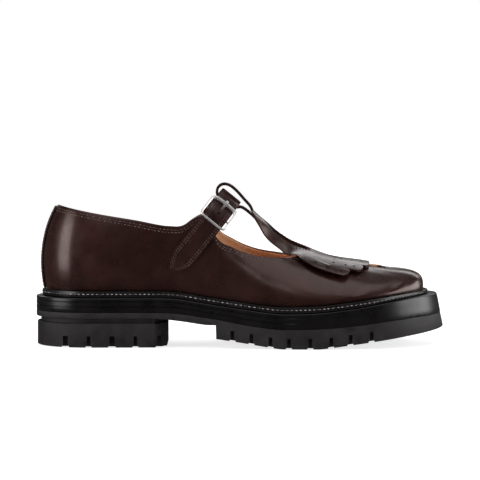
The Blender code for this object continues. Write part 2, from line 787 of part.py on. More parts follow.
def strap_path():
    """Middle line of the strap as an arch with straight ends, with its length from the apex."""
    apex, down, width = strap_frame()
    found = []
    steps = 60
    for k in range(steps + 1):
        angle = -math.pi / 2 + math.pi * k / steps
        drop = STRAP_RISE * (1 - math.cos(angle))
        found.append(apex + down * drop + Vector((0, -STRAP_HALF_SPAN * math.sin(angle), 0)))
    start = [found[0] + down * STRAP_ROOT * t for t in (1.0, 0.5)]
    end = [found[-1] + down * STRAP_TAIL * t for t in (0.25, 0.5, 0.75, 1.0)]
    path = start + found + end
    lengths = [0.0]
    for a, b in zip(path, path[1:]):
        lengths.append(lengths[-1] + (b - a).length)
    middle = lengths[2 + steps // 2]
    return path, [length - middle for length in lengths]


def strap_at(path, lengths, at):
    """Point, direction and outward normal of the strap at a length from its apex."""
    apex, down, width = strap_frame()
    k = 0
    while k < len(lengths) - 2 and lengths[k + 1] < at:
        k += 1
    t = (at - lengths[k]) / (lengths[k + 1] - lengths[k])
    spot = path[k].lerp(path[k + 1], t)
    along = (path[min(k + 2, len(path) - 1)] - path[max(k - 1, 0)]).normalized()
    return spot, along, along.cross(width).normalized()


def buckle_length():
    """Length along the strap from its apex to the middle of the buckle."""
    apex, down, width = strap_frame()
    path, lengths = strap_path()
    for point, length in zip(path, lengths):
        if length > 0 and (point - apex).dot(down) >= BUCKLE_DROP:
            return length
    return lengths[-1]


def weave(s):
    """How far the strap rises from its plain arch where it passes through the buckle."""
    bar = BUCKLE_LENGTH / 2 - BUCKLE_WIRE / 2
    if abs(s) <= bar:
        return 0.3 + 0.6 * math.cos(math.pi * s / bar)
    return -0.3 * max(0.0, 1 - (abs(s) - bar) / bar)


def tail_half_width(left):
    """Half width of the strap at a distance from its pointed end."""
    full = STRAP_WIDTH / 2
    if left >= STRAP_POINT:
        return full
    return full * (0.26 + 0.74 * math.sin(math.pi / 2 * left / STRAP_POINT))


def add_strap(tree, material):
    path, lengths = strap_path()
    apex, down, width = strap_frame()
    middle = buckle_length()
    total = lengths[-1] - lengths[0]
    count = 40
    across = 4
    inner, outer = [], []
    for k in range(count + 1):
        at = lengths[0] + total * k / count
        spot, along, normal = strap_at(path, lengths, at)
        half = tail_half_width(lengths[-1] - at)
        for m in range(across + 1):
            low = spot + width * half * (2 * m / across - 1)
            low += normal * (weave(at - middle) - STRAP_THICKNESS / 2)
            side = 1 if at < 0 else -1
            ray = Vector((low.x, side * SOLE_WIDTH, low.z))
            hit, _, _, _ = tree.ray_cast(ray, Vector((0, -side, 0)))
            if hit and hit.y * side > 0:
                settled = smoothstep(BUCKLE_LENGTH / 2, BUCKLE_LENGTH / 2 + STRAP_SETTLE, abs(at) - middle)
                on_upper = hit.y * side + 2 * GAP
                low.y = side * max(low.y * side * (1 - settled) + on_upper * settled, on_upper)
            inner.append(low)
            outer.append(low + normal * STRAP_THICKNESS)
    return add_sheet("instep_strap", inner, outer, across + 1, count + 1, material)


def add_tube(name, path, radii, sides, material, closed=False, normal=None):
    """A tube round a path, with a radius for each of its points."""
    count = len(path)
    points = []
    for k, spot in enumerate(path):
        before = path[k - 1] if closed or k else path[k]
        after = path[(k + 1) % count] if closed or k < count - 1 else path[k]
        along = (after - before).normalized()
        up = normal - along * normal.dot(along)
        up.normalize()
        side = along.cross(up)
        for m in range(sides):
            angle = 2 * math.pi * (m + 0.5) / sides
            points.append(spot + (side * math.cos(angle) + up * math.sin(angle)) * radii[k])
    faces = []
    for k in range(count if closed else count - 1):
        for m in range(sides):
            a, b = k * sides, (k + 1) % count * sides
            faces.append((a + m, a + (m + 1) % sides, b + (m + 1) % sides, b + m))
    if not closed:
        faces.append(tuple(range(sides)))
        faces.append(tuple(range((count - 1) * sides, count * sides)))
    return add_object(name, points, faces, material)


def buckle_frame_axes():
    path, lengths = strap_path()
    apex, down, width = strap_frame()
    spot, along, normal = strap_at(path, lengths, buckle_length())
    return spot, along, width, normal


def add_buckle(material):
    """Frame, thicker and bowed at the front bar, joined to its centre bar."""
    spot, along, width, normal = buckle_frame_axes()
    half_w = (BUCKLE_WIDTH - BUCKLE_WIRE) / 2
    half_l = (BUCKLE_LENGTH - BUCKLE_WIRE) / 2
    corner = 3.0
    path, radii = [], []
    corners = ((1, -1, -90), (1, 1, 0), (-1, 1, 90), (-1, -1, 180))
    for across, length, start in corners:
        steps = 4
        for k in range(steps + 1):
            angle = math.radians(start + 90 * k / steps)
            w = across * (half_w - corner) + corner * math.cos(angle)
            s = length * (half_l - corner) + corner * math.sin(angle)
            path.append((w, s))
        if (across, length) == (-1, -1):
            path += [(half_w * t, -half_l) for t in (-0.35, 0.0, 0.35)]
        if (across, length) == (1, 1):
            path.append((0.0, half_l))
    points = []
    for w, s in path:
        front = smoothstep(0.3, 1.0, -s / half_l)
        bow = FRONT_BAR_BOW * front * (1 - (w / half_w) ** 2)
        points.append(spot + width * w + along * (s - bow) + normal * BUCKLE_LIFT)
        radii.append((BUCKLE_WIRE + (FRONT_BAR_WIRE - BUCKLE_WIRE) * front) / 2)
    frame = add_tube("buckle_frame", points, radii, 8, material, True, normal)
    bar = []
    for w, n in ((-1.0, BUCKLE_LIFT), (-0.97, 0.0), (-0.9, -CENTRE_BAR_DROP), (0.9, -CENTRE_BAR_DROP), (0.97, 0.0),
                 (1.0, BUCKLE_LIFT)):
        bar.append(spot + width * half_w * w + normal * n)
    helper = add_tube("centre_bar", bar, [CENTRE_BAR_WIRE / 2] * len(bar), 8, None, False, along)
    helper.hide_render = True
    helper.display_type = "WIRE"
    join = frame.modifiers.new("centre_bar", "BOOLEAN")
    join.operation = "UNION"
    join.object = helper
    join.solver = "EXACT"
    return frame


def ribbon(path, thickness):
    """Left and right sides of a bent strip of even thickness, in its own plane."""
    sides = ([], [])
    for k, (s, n) in enumerate(path):
        s0, n0 = path[max(k - 1, 0)]
        s1, n1 = path[min(k + 1, len(path) - 1)]
        length = math.hypot(s1 - s0, n1 - n0)
        off = (-(n1 - n0) / length * thickness / 2, (s1 - s0) / length * thickness / 2)
        sides[0].append((s + off[0], n + off[1]))
        sides[1].append((s - off[0], n - off[1]))
    return sides


def add_strip(name, path, thickness, strip_width, material):
    """A strip bent in the buckle's plane of length and height, straight across."""
    spot, along, width, normal = buckle_frame_axes()
    left, right = ribbon(path, thickness)
    inner, outer = [], []
    for (s0, n0), (s1, n1) in zip(left, right):
        for side in (-0.5, 0.5):
            inner.append(spot + along * s0 + normal * n0 + width * side * strip_width)
            outer.append(spot + along * s1 + normal * n1 + width * side * strip_width)
    return add_sheet(name, inner, outer, 2, len(path), material)


def arc_path(radius, start, end, steps, middle=(0.0, 0.0)):
    found = []
    for k in range(steps + 1):
        angle = math.radians(start + (end - start) * k / steps)
        found.append((middle[0] + radius * math.cos(angle), middle[1] + radius * math.sin(angle)))
    return found


def add_prong(material):
    """Hooked under the centre bar, up through the strap and onto the front bar."""
    bar = (0.0, -CENTRE_BAR_DROP)
    radius = CENTRE_BAR_WIRE / 2 + GAP + PRONG_THICKNESS / 2
    rest = -(BUCKLE_LENGTH - BUCKLE_WIRE) / 2 - FRONT_BAR_BOW
    over = BUCKLE_LIFT + FRONT_BAR_WIRE / 2 + GAP + PRONG_THICKNESS / 2
    path = arc_path(radius, -15, -140, 6, bar)
    path += [(rest * 0.5, -1.6), (rest * 0.66, -0.5), (rest * 0.77, over * 0.5), (rest * 0.9, over)]
    path += [(rest - 1.0, over)]
    return add_strip("buckle_prong", path, PRONG_THICKNESS, PRONG_WIDTH, material)


def add_prong_slot(name, obj, start, end):
    """Clears the prong's way through a piece of leather."""
    height = 4 * STRAP_THICKNESS
    slot = add_strip(name, [(start, 0.0), (end, 0.0)], height, PRONG_WIDTH + 2 * GAP, None)
    add_cut(obj, slot)


def add_tab(material):
    """Leather tab round the centre bar, down to the top of the lateral quarter."""
    bar = (0.0, -CENTRE_BAR_DROP)
    radius = CENTRE_BAR_WIRE / 2 + PRONG_THICKNESS + 2 * GAP + TAB_THICKNESS / 2
    path = [(TAB_REACH, -7.1), (3.6, -4.7)]
    path += arc_path(radius, -75, -185, 5, bar)
    tab = add_strip("buckle_tab", path, TAB_THICKNESS, TAB_WIDTH, material)
    add_prong_slot("tab_slot", tab, -STRAP_WIDTH / 4, CENTRE_BAR_WIRE + PRONG_THICKNESS + 2 * GAP)
    return tab


def kiltie_pattern(half, slot, fringe):
    """Distances of the sheet's columns from its middle line.

    The fringe value runs from 0, where the teardrop sets the columns, to 1, where the fingers do.
    """
    arm = (FINGER_COUNT - 1) // 2
    strap = []
    steps = 3 * arm - 1
    for k in range(steps + 1):
        strap.append(-half + (half - slot) * k / steps)
    inner = 3 * (FINGER_COUNT - 2 * arm)
    middle = [slot * 0.55 * (2 * k / (inner - 1) - 1) for k in range(inner)]
    strap = strap + middle + [-v for v in reversed(strap)]
    fingers = []
    for k in range(FINGER_COUNT):
        low = half * (2 * k / FINGER_COUNT - 1) + (FINGER_GAP / 2 if k else 0.0)
        high = half * (2 * (k + 1) / FINGER_COUNT - 1) - (FINGER_GAP / 2 if k < FINGER_COUNT - 1 else 0.0)
        fingers += [low, (low + high) / 2, high]
    return [a + (b - a) * fringe for a, b in zip(strap, fingers)]


def kiltie_point(x, v):
    """Top face of the T-strap and fringe at a distance from the middle line, and its normal."""
    share = (x - HEEL_X) / LAST_LENGTH
    step = 0.002
    z = COLLAR_HEIGHT * through(KILTIE_SECTIONS, 1, share)
    rise = COLLAR_HEIGHT * (through(KILTIE_SECTIONS, 1, share + step) - through(KILTIE_SECTIONS, 1, share - step))
    out = Vector((-rise, 0, 2 * step * LAST_LENGTH)).normalized()
    angle = v / (KILTIE_WIDTH * through(KILTIE_SECTIONS, 3, share))
    radius = KILTIE_WIDTH * through(KILTIE_SECTIONS, 3, share)
    side, height = radius * math.sin(angle), radius * (math.cos(angle) - 1)
    turned = KILTIE_ROLL + (FRINGE_ROLL - KILTIE_ROLL) * smoothstep(TEARDROP_END - 0.03, FINGER_START, share)
    roll = math.radians(turned) * smoothstep(TEARDROP_START - 0.02, TEARDROP_START + 0.06, share)
    y = side * math.cos(roll) - height * math.sin(roll)
    h = height * math.cos(roll) + side * math.sin(roll)
    spot = Vector((x, AXIS_Y + y, SEAT_HEIGHT + z)) + out * h
    lean = angle - roll
    return spot, out * math.cos(lean) + Vector((0, math.sin(lean), 0))


def kiltie_rows():
    """Rows of the T-strap and fringe: x of each column, distance of each column, kind."""
    start = HEEL_X + TEARDROP_START * LAST_LENGTH
    end = HEEL_X + TEARDROP_END * LAST_LENGTH
    fringe_start = HEEL_X + FINGER_START * LAST_LENGTH
    tip = HEEL_X + FINGER_END * LAST_LENGTH
    columns = 3 * FINGER_COUNT
    slot_half = TEARDROP_WIDTH / 2
    rows = []

    def half_width(x):
        return KILTIE_WIDTH * through(KILTIE_SECTIONS, 2, (x - HEEL_X) / LAST_LENGTH)

    def slot_width(x):
        t = min(max((x - start) / (end - start), 0.0), 1.0)
        return slot_half * (0.1 + 0.9 * math.sin(math.pi / 2 * min(1.0, t / 0.75)))

    plain = [start - 3.0] + [start + (end - start) * t for t in (0.0, 0.2, 0.4, 0.6, 0.8, 1.0)]
    after = [end + (fringe_start - end) * t for t in (0.25, 0.5, 0.75, 1.0)]
    for x in plain + after:
        pushed = {end: 0.8, after[0]: 0.45, after[1]: 0.15}.get(x, 0.0) * slot_half
        fringe = smoothstep(end, fringe_start, x)
        pattern = kiltie_pattern(half_width(x), slot_width(x), fringe)
        shape = [pushed * max(0.0, 1 - (v / slot_half) ** 2) for v in pattern]
        rows.append(([x + dx for dx in shape], pattern, "slot" if start <= x < end else "whole"))
    rows[-1] = (*rows[-1][:2], "fingers")
    for t in (0.4, 0.8, 1.0):
        xs = []
        for k in range(columns):
            finger = k // 3
            share = 2 * (k - finger) / (columns - FINGER_COUNT) - 1
            reach = tip - FINGER_SWEEP * share * share
            if t == 1.0 and k % 3 != 1:
                reach -= FINGER_CHAMFER
            xs.append(fringe_start + (reach - fringe_start) * t)
        pattern = kiltie_pattern(half_width(sum(xs) / columns), slot_half, 1.0)
        rows.append((xs, pattern, "fingers"))
    return rows


def clearance(tree, low, v):
    """How far a point under the T-strap has to rise to clear the vamp and its edge."""
    rise = 0.0
    side = 1 if v > 0 else -1
    lift = KILTIE_LIFT + KILTIE_EDGE_LIFT * (2 * v / KILTIE_WIDTH) ** 2
    edge = 1.8 * WALL
    for ahead, out in ((0.0, 0.0), (edge, 0.0), (edge, side * edge), (0.0, side * edge)):
        start = low + Vector((ahead, out, COLLAR_HEIGHT))
        hit, slope, _, _ = tree.ray_cast(start, Vector((0, 0, -1)))
        if hit:
            rise = max(rise, hit.z + lift / max(abs(slope.z), 0.3) - low.z)
        if hit and not ahead and not out:
            break
    return rise


def add_kiltie(tree, material):
    """Loop round the cross strap, slotted T-strap and fringe in one sheet of leather."""
    apex, down, width = strap_frame()
    out = -down
    top = apex + out * STRAP_THICKNESS / 2
    columns = 3 * FINGER_COUNT
    rows = kiltie_rows()
    line = []
    for back in (0.0, LOOP_REACH):
        spot, normal = kiltie_point(rows[1][0][0] - back, 0.0)
        line.append(spot - normal * (1.5 * KILTIE_THICKNESS + GAP))
    for across, away in LOOP:
        line.append(top + width * across * STRAP_WIDTH + out * away * STRAP_WIDTH)
    inner, outer = [], []
    openings = set()
    spot, normal = kiltie_point(rows[0][0][0], 0.0)
    line.append(spot - normal * KILTIE_THICKNESS / 2)
    for k, spot in enumerate(line[:-1]):
        along = line[k + 1] - line[max(k - 1, 0)]
        side = Vector((-along.z, 0, along.x)).normalized() * KILTIE_THICKNESS / 2
        for v in kiltie_pattern(LOOP_WIDTH / 2, TEARDROP_WIDTH / 20, 0.0):
            inner.append(spot - side + Vector((0, v, 0)))
            outer.append(spot + side + Vector((0, v, 0)))
    for j, (xs, pattern, kind) in enumerate(rows):
        for k, (x, v) in enumerate(zip(xs, pattern)):
            spot, normal = kiltie_point(x, v)
            low = spot - normal * KILTIE_THICKNESS
            raised = Vector((0, 0, clearance(tree, low, v)))
            low += raised
            spot += raised
            inner.append(low)
            outer.append(spot)
        row = len(line) - 1 + j
        arm = 3 * ((FINGER_COUNT - 1) // 2)
        if kind == "slot":
            openings.update((row, k) for k in range(arm - 1, columns - arm))
        if kind == "fingers":
            openings.update((row, k) for k in range(2, columns - 1, 3))
    return add_sheet("kiltie_strap", inner, outer, columns, len(line) - 1 + len(rows), material, openings)


def main():
    clear_scene()
    leather = make_material("burgundy_leather", (0.045, 0.02, 0.02), 0.3)
    rubber = make_material("black_rubber", (0.018, 0.017, 0.018), 0.6)
    edge = make_material("black_welt", (0.012, 0.011, 0.011), 0.45)
    lining = make_material("tan_lining", (0.5, 0.25, 0.12), 0.8)
    steel = make_material("polished_steel", (0.75, 0.75, 0.77), 0.15, 1.0)

    columns = upper_grid(SECTION_STEPS, UPPER_LEVELS)
    add_upper(columns, leather)
    add_insole(columns, SECTION_STEPS, lining)
    add_sole(rubber, edge)
    tree = upper_tree(columns)
    add_backstay(tree, leather)
    strap = add_strap(tree, leather)
    rest = -(BUCKLE_LENGTH - BUCKLE_WIRE) / 2 - FRONT_BAR_BOW
    add_prong_slot("strap_hole", strap, rest * 0.34, rest * 0.88)
    add_buckle(steel)
    add_prong(steel)
    add_tab(leather)
    add_kiltie(tree, leather)


main()
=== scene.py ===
import math

import bmesh
import bpy
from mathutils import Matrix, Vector
from mathutils.bvhtree import BVHTree


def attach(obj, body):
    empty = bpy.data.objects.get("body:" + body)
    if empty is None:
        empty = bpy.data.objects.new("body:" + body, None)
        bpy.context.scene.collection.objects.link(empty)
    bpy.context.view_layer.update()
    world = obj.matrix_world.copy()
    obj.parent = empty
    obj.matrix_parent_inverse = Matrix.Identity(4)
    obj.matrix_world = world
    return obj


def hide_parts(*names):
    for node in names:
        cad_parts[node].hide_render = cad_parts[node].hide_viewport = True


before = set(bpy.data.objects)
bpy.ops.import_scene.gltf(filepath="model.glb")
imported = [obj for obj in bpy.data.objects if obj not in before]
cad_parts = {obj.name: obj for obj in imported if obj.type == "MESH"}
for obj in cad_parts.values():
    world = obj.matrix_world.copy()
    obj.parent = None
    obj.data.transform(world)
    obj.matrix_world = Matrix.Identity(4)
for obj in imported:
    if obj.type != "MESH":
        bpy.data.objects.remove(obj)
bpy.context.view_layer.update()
mm = 0.001
weld = 0.002
sharpAngle = math.radians(35)
down = Vector((0, 0, -1))

last = {
    "length": 256.0,
    "ballWidth": 90.0,
    "collarHeight": 56.0,
    "wall": 2.0,
    "gap": 0.3,
}
sole = {
    "width": 97.0,
    "seatHeight": 37.5,
    "weltThickness": 4.2,
    "weltToeThickness": 2.4,
    "weltHeelInset": 3.6,
    "heelBlockHeight": 16.0,
    "heelNeckInset": 2.4,
    "heelSet": 0.3,
    "breastPlace": 0.305,
    "breastChamfer": 8.0,
    "ribs": (0.39, 0.74),
    "weltBack": 6.0,
    "weltToe": 2.6,
    "toeLedge": 5.8,
    "toeSlant": 4.2,
    "bandFlare": 0.4,
    "edgeRound": 0.8,
    "ribDepth": 0.7,
    "ribWidth": 1.2,
    "weltHole": 13.0,
    "ledgeStart": 0.80,
    "slantStart": 0.76,
}
cleft = {
    "y": 12.3,
    "length": 22.5,
    "gap": 4.0,
    "soleGap": 2.6,
    "soleLength": 17.0,
    "soleFlare": 5.0,
    "flareStart": 0.35,
    "past": 5.0,
}

soleFrontReach = sole["weltToe"] + sole["toeLedge"] + sole["toeSlant"]
heelX = -(last["length"] + soleFrontReach - sole["weltBack"] - sole["bandFlare"]) / 2
soleBack = heelX - sole["weltBack"]
weltLength = last["length"] + sole["weltBack"] + sole["weltToe"]

# Half widths of the welt, from the heel's middle line, as shares of sole["width"].
soleSides = (
    # place, lateral, medial
    (0.00, 0.382, 0.382),
    (0.14, 0.382, 0.382),
    (0.24, 0.377, 0.370),
    (0.33, 0.368, 0.340),
    (0.42, 0.392, 0.315),
    (0.52, 0.455, 0.347),
    (0.61, 0.508, 0.420),
    (0.69, 0.521, 0.468),
    (0.76, 0.511, 0.479),
    (0.84, 0.474, 0.470),
    (0.92, 0.422, 0.443),
    (1.00, 0.340, 0.412),
)
axisY = sole["width"] * (0.521 - 0.479) / 2
heelRound = 0.14
toeRound = {"lateral": (0.20, 2.2), "medial": (0.12, 2.4)}

# Heights along the sole as shares of sole["seatHeight"]: feather line, top and bottom of the outsole.
soleHeights = (
    # place, seat, band, tread
    (0.00, 1.000, 0.618, 0.512),
    (0.30, 1.000, 0.618, 0.512),
    (0.36, 0.985, 0.600, 0.476),
    (0.43, 0.910, 0.535, 0.406),
    (0.462, 0.878, 0.503, 0.158),
    (0.52, 0.822, 0.430, 0.104),
    (0.58, 0.768, 0.368, 0.040),
    (0.625, 0.742, 0.345, 0.000),
    (0.715, 0.760, 0.355, 0.000),
    (0.80, 0.825, 0.400, 0.070),
    (0.87, 0.890, 0.460, 0.136),
    (0.94, 0.945, 0.515, 0.206),
    (1.00, 0.965, 0.545, 0.262),
    (1.04, 0.975, 0.560, 0.300),
)
treadStep = 0.458
flatStart = 0.625
flatEnd = 0.715


def through(rows, column, at):
    # A smooth curve through one column of a table whose first column is the place.
    final = len(rows) - 1
    at = min(max(at, rows[0][0]), rows[final][0])
    k = 0
    while k < final - 1 and at > rows[k + 1][0]:
        k += 1

    def slope(i):
        before = rows[max(i - 1, 0)]
        after = rows[min(i + 1, final)]
        return (after[column] - before[column]) / (after[0] - before[0])

    step = rows[k + 1][0] - rows[k][0]
    t = (at - rows[k][0]) / step
    return hermite(rows[k][column], rows[k + 1][column], slope(k) * step, slope(k + 1) * step, t)


def hermite(start, end, startSlope, endSlope, t):
    # A cubic between two values with given slopes.
    a = 2 * t**3 - 3 * t**2 + 1
    b = 3 * t**2 - 2 * t**3
    c = t**3 - 2 * t**2 + t
    d = t**3 - t**2
    return a * start + b * end + c * startSlope + d * endSlope


def smoothstep(start, end, value):
    # Eases from 0 to 1 between two values.
    t = min(max((value - start) / (end - start), 0.0), 1.0)
    return t * t * (3 - 2 * t)


def rounded(t, power):
    # A rounded end: 0 at t 0, 1 from t 1 on.
    t = min(max(t, 0.0), 1.0)
    return (1 - (1 - t) ** power) ** (1 / power)


def placeOf(x):
    # Share of the welt's length at an x, from the back of the heel.
    return (x - soleBack) / weltLength


def lastX(share):
    # The x at a share of the last's length.
    return heelX + share * last["length"]


def shareOf(x):
    return (x - heelX) / last["length"]


def seatZ(x):
    return sole["seatHeight"] * through(soleHeights, 1, placeOf(x))


def bandZ(x):
    return sole["seatHeight"] * through(soleHeights, 2, placeOf(x))


def treadZ(x):
    # Underside of the sole, which steps down in front of the shank.
    place = placeOf(x)
    if place < treadStep:
        rows = [row for row in soleHeights if row[0] < treadStep]
        return sole["seatHeight"] * through(rows, 3, place)
    if flatStart <= place <= flatEnd:
        return 0.0
    rows = [row for row in soleHeights if row[0] > treadStep]
    return sole["seatHeight"] * max(through(rows, 3, place), 0.0)


def weltThickness(x):
    thinning = smoothstep(sole["ledgeStart"], 1.0, placeOf(x))
    return sole["weltThickness"] + (sole["weltToeThickness"] - sole["weltThickness"]) * thinning


def weltSide(place, side):
    # Half width of the welt on one side, measured from the heel's middle line.
    column = 1 if side == "lateral" else 2
    sign = -1 if side == "lateral" else 1
    width = sign * sole["width"] * through(soleSides, column, place)
    width *= rounded(place / heelRound, 2.0)
    roundness, power = toeRound[side]
    return cleft["y"] + (width - cleft["y"]) * rounded((1 - place) / roundness, power)


def places(count, start=0.0, end=1.0, extra=()):
    found = [start + (end - start) * (1 - math.cos(math.pi * k / count)) / 2 for k in range(count + 1)]
    return sorted(found + list(extra))


def outlinePoints(shares, narrowing=None):
    # Lateral and medial points of the welt's edge, with their outward normals.
    sides = {}
    for side in ("lateral", "medial"):
        points = []
        for place in shares:
            y = weltSide(place, side)
            if narrowing:
                y *= narrowing(place)
            points.append(Vector((soleBack + place * weltLength, axisY + y)))
        sides[side] = points
    normals = {"lateral": [], "medial": []}
    final = len(shares) - 1
    for side, sign, other in (("lateral", 1, "medial"), ("medial", -1, "lateral")):
        line = sides[side]
        for k in range(final + 1):
            before = line[max(k - 1, 0)]
            after = line[min(k + 1, final)]
            isTip = k in (0, final) and (line[k] - sides[other][k]).length < 1e-6
            if isTip and k == 0:
                before = sides[other][1]
            elif isTip:
                after = sides[other][final - 1]
            along = (after - before).normalized() * sign
            normals[side].append(Vector((along.y, -along.x)))
    return sides, normals


def shadeSmooth(mesh):
    mesh.shade_smooth()
    mesh.set_sharp_from_angle(angle=sharpAngle)


def addObject(name, points, faces, material):
    # A mesh object from millimetre points, welded and shaded smooth but for its sharp edges.
    mesh = bpy.data.meshes.new(name)
    mesh.from_pydata([tuple(Vector(p) * mm) for p in points], [], faces)
    body = bmesh.new()
    body.from_mesh(mesh)
    bmesh.ops.remove_doubles(body, verts=body.verts, dist=weld * mm)
    loose = [v for v in body.verts if not v.link_faces]
    bmesh.ops.delete(body, geom=loose, context="VERTS")
    bmesh.ops.recalc_face_normals(body, faces=body.faces)
    body.to_mesh(mesh)
    body.free()
    obj = bpy.data.objects.new(name, mesh)
    bpy.context.collection.objects.link(obj)
    if material:
        mesh.materials.append(material)
    shadeSmooth(mesh)
    return obj


def ringFaces(base, sides, rings, closed=False):
    # Quads between rings of points that follow one another.
    faces = []
    for j in range(rings if closed else rings - 1):
        a, b = base + j * sides, base + (j + 1) % rings * sides
        for m in range(sides):
            after = (m + 1) % sides
            faces.append((a + m, a + after, b + after, b + m))
    return faces


def addSlab(name, rows, shares, material, narrowing=None):
    # A layer of the sole. Each row has an offset from the welt's edge and a height, by place and x.
    sides, normals = outlinePoints(shares, narrowing)
    count = len(shares)
    points = []
    for offset, height in rows:
        for side in ("lateral", "medial"):
            for k, place in enumerate(shares):
                spot = sides[side][k] + normals[side][k] * offset(place)
                points.append((spot.x, spot.y, height(spot.x)))
    faces = []
    for r in range(len(rows)):
        lateral = 2 * count * r
        medial = lateral + count
        if r in (0, len(rows) - 1):
            for k in range(count - 1):
                faces.append((lateral + k, lateral + k + 1, medial + k + 1, medial + k))
        if r == len(rows) - 1:
            continue
        above = 2 * count
        for k in range(count - 1):
            for base in (lateral, medial):
                faces.append((base + k, base + k + 1, base + k + 1 + above, base + k + above))
        for k in (0, count - 1):
            faces.append((lateral + k, medial + k, medial + k + above, lateral + k + above))
    return addObject(name, points, faces, material)


def addCut(obj, cutter):
    # Cuts with a helper object, which stays out of the model.
    cutter.hide_render = True
    cutter.display_type = "WIRE"
    modifier = obj.modifiers.new("cut_" + cutter.name, "BOOLEAN")
    modifier.operation = "DIFFERENCE"
    modifier.object = cutter
    modifier.solver = "EXACT"


def ledge(place):
    return sole["toeLedge"] * smoothstep(sole["ledgeStart"], 1.0, place)


def slant(place):
    return sole["toeSlant"] * smoothstep(sole["slantStart"], 1.0, place)


def cleftCutter(name, gap, rootX, low, high):
    # A slot with a round root that flares to the front, for everything under the upper.
    front = soleBack + weltLength + sole["toeLedge"] + sole["toeSlant"] + cleft["past"]
    half = gap / 2
    outline = []
    steps = 6
    for k in range(steps + 1):
        angle = math.pi / 2 + math.pi * k / steps
        outline.append((rootX + half + half * math.cos(angle), half * math.sin(angle)))
    for k in range(1, steps + 1):
        t = k / steps
        x = rootX + half + (front - rootX - half) * t
        flare = cleft["soleFlare"] * max(0.0, (t - cleft["flareStart"]) / (1 - cleft["flareStart"])) ** 2
        outline.append((x, -half - flare))
    outline += [(x, -y) for x, y in outline[:steps:-1]]
    count = len(outline)
    points = [(x, axisY + cleft["y"] + y, low) for x, y in outline]
    points += [(x, axisY + cleft["y"] + y, high) for x, y in outline]
    faces = [tuple(range(count)), tuple(range(count, 2 * count))]
    return addObject(name, points, faces + ringFaces(0, count, 2), None)


# Notches cut into the sides of the tread and the heel.
tread = {
    "notchDepth": 10.0,
    "notchHeight": 7.0,
    "notchWidth": 2.4,
    "notchMouth": 4.4,
    "heelNotchFirst": 0.078,
    "heelNotchPitch": 15.6,
    "heelNotchHeight": 7.6,
    "heelNotchFlare": 2.0,
    "below": 3.0,
}

# Places of the forefoot notches as shares of the welt's length.
foreNotches = (0.499, 0.5465, 0.5945, 0.6405, 0.694, 0.7465, 0.795, 0.848)


def notchCutter(name, spots, height, width=tread["notchWidth"], mouth=tread["notchMouth"]):
    # Side notches of the tread. A spot has x, the edge's y and the height of its bottom.
    wide, narrow, shoulder, below = mouth / 2, width / 2, mouth - width, tread["below"]
    profile = [(-wide, -below), (wide, -below), (wide, 0.0), (narrow, shoulder)]
    profile += [(narrow, height), (-narrow, height), (-narrow, shoulder), (-wide, 0.0)]
    count = len(profile)
    points = []
    faces = []
    for x, edge, bottom in spots:
        side = -1 if edge < axisY else 1
        base = len(points)
        for y in (edge - side * tread["notchDepth"], edge + side * tread["notchDepth"]):
            points += [(x + px, y, bottom + pz) for px, pz in profile]
        faces += [tuple(range(base, base + count)), tuple(range(base + count, base + 2 * count))]
        faces += ringFaces(base, count, 2)
    return addObject(name, points, faces, None)


# Sections of the upper from heel to toe. Lengths are shares of last["length"] (x, topX),
# last["ballWidth"] (lateral, medial, topLat, topMed) and last["collarHeight"] (topZ, medDrop,
# lean, swell). rise, run and drop are shares of the section's own height and reach.
sections = (
    # x, lateral, medial, topX, topLat, topMed, topZ, medDrop, rise, lean, run, swell, drop
    (0.000, 0.000, 0.000, 0.032, 0.000, 0.000, 1.000, 0.000, 0.32, 0.070, 1.00, 0.036, 0.31),
    (0.016, 0.155, 0.155, 0.045, 0.128, 0.128, 0.993, 0.025, 0.32, 0.068, 1.00, 0.036, 0.31),
    (0.059, 0.283, 0.283, 0.078, 0.228, 0.228, 0.962, 0.052, 0.33, 0.066, 0.90, 0.040, 0.31),
    (0.129, 0.345, 0.345, 0.141, 0.280, 0.280, 0.907, 0.064, 0.34, 0.055, 0.80, 0.042, 0.32),
    (0.219, 0.355, 0.339, 0.238, 0.322, 0.322, 0.835, 0.066, 0.35, 0.050, 0.60, 0.040, 0.33),
    (0.316, 0.345, 0.306, 0.328, 0.345, 0.345, 0.765, 0.066, 0.36, 0.045, 0.50, 0.035, 0.34),
    (0.375, 0.360, 0.288, 0.368, 0.345, 0.338, 0.785, 0.060, 0.38, 0.045, 0.50, 0.035, 0.34),
    (0.406, 0.372, 0.283, 0.396, 0.328, 0.324, 0.870, 0.040, 0.38, 0.045, 0.50, 0.035, 0.34),
    (0.434, 0.389, 0.283, 0.426, 0.322, 0.320, 0.880, 0.015, 0.38, 0.045, 0.50, 0.035, 0.34),
    (0.461, 0.405, 0.291, 0.449, 0.355, 0.345, 0.650, -0.045, 0.40, 0.045, 0.50, 0.035, 0.32),
    (0.512, 0.444, 0.330, 0.495, 0.365, 0.360, 0.515, -0.035, 0.38, 0.045, 0.52, 0.030, 0.29),
    (0.582, 0.489, 0.405, 0.551, 0.352, 0.356, 0.425, -0.022, 0.32, 0.045, 0.50, 0.020, 0.27),
    (0.660, 0.512, 0.460, 0.613, 0.311, 0.322, 0.392, -0.008, 0.27, 0.042, 0.48, 0.010, 0.28),
    (0.738, 0.502, 0.461, 0.648, 0.240, 0.270, 0.390, 0.000, 0.24, 0.042, 0.48, 0.000, 0.31),
    (0.809, 0.467, 0.450, 0.664, 0.172, 0.212, 0.398, 0.000, 0.23, 0.042, 0.49, 0.000, 0.35),
    (0.871, 0.402, 0.430, 0.672, 0.125, 0.168, 0.406, 0.000, 0.26, 0.040, 0.51, 0.000, 0.39),
    (0.926, 0.306, 0.402, 0.676, 0.090, 0.134, 0.411, 0.000, 0.35, 0.038, 0.55, 0.000, 0.47),
)

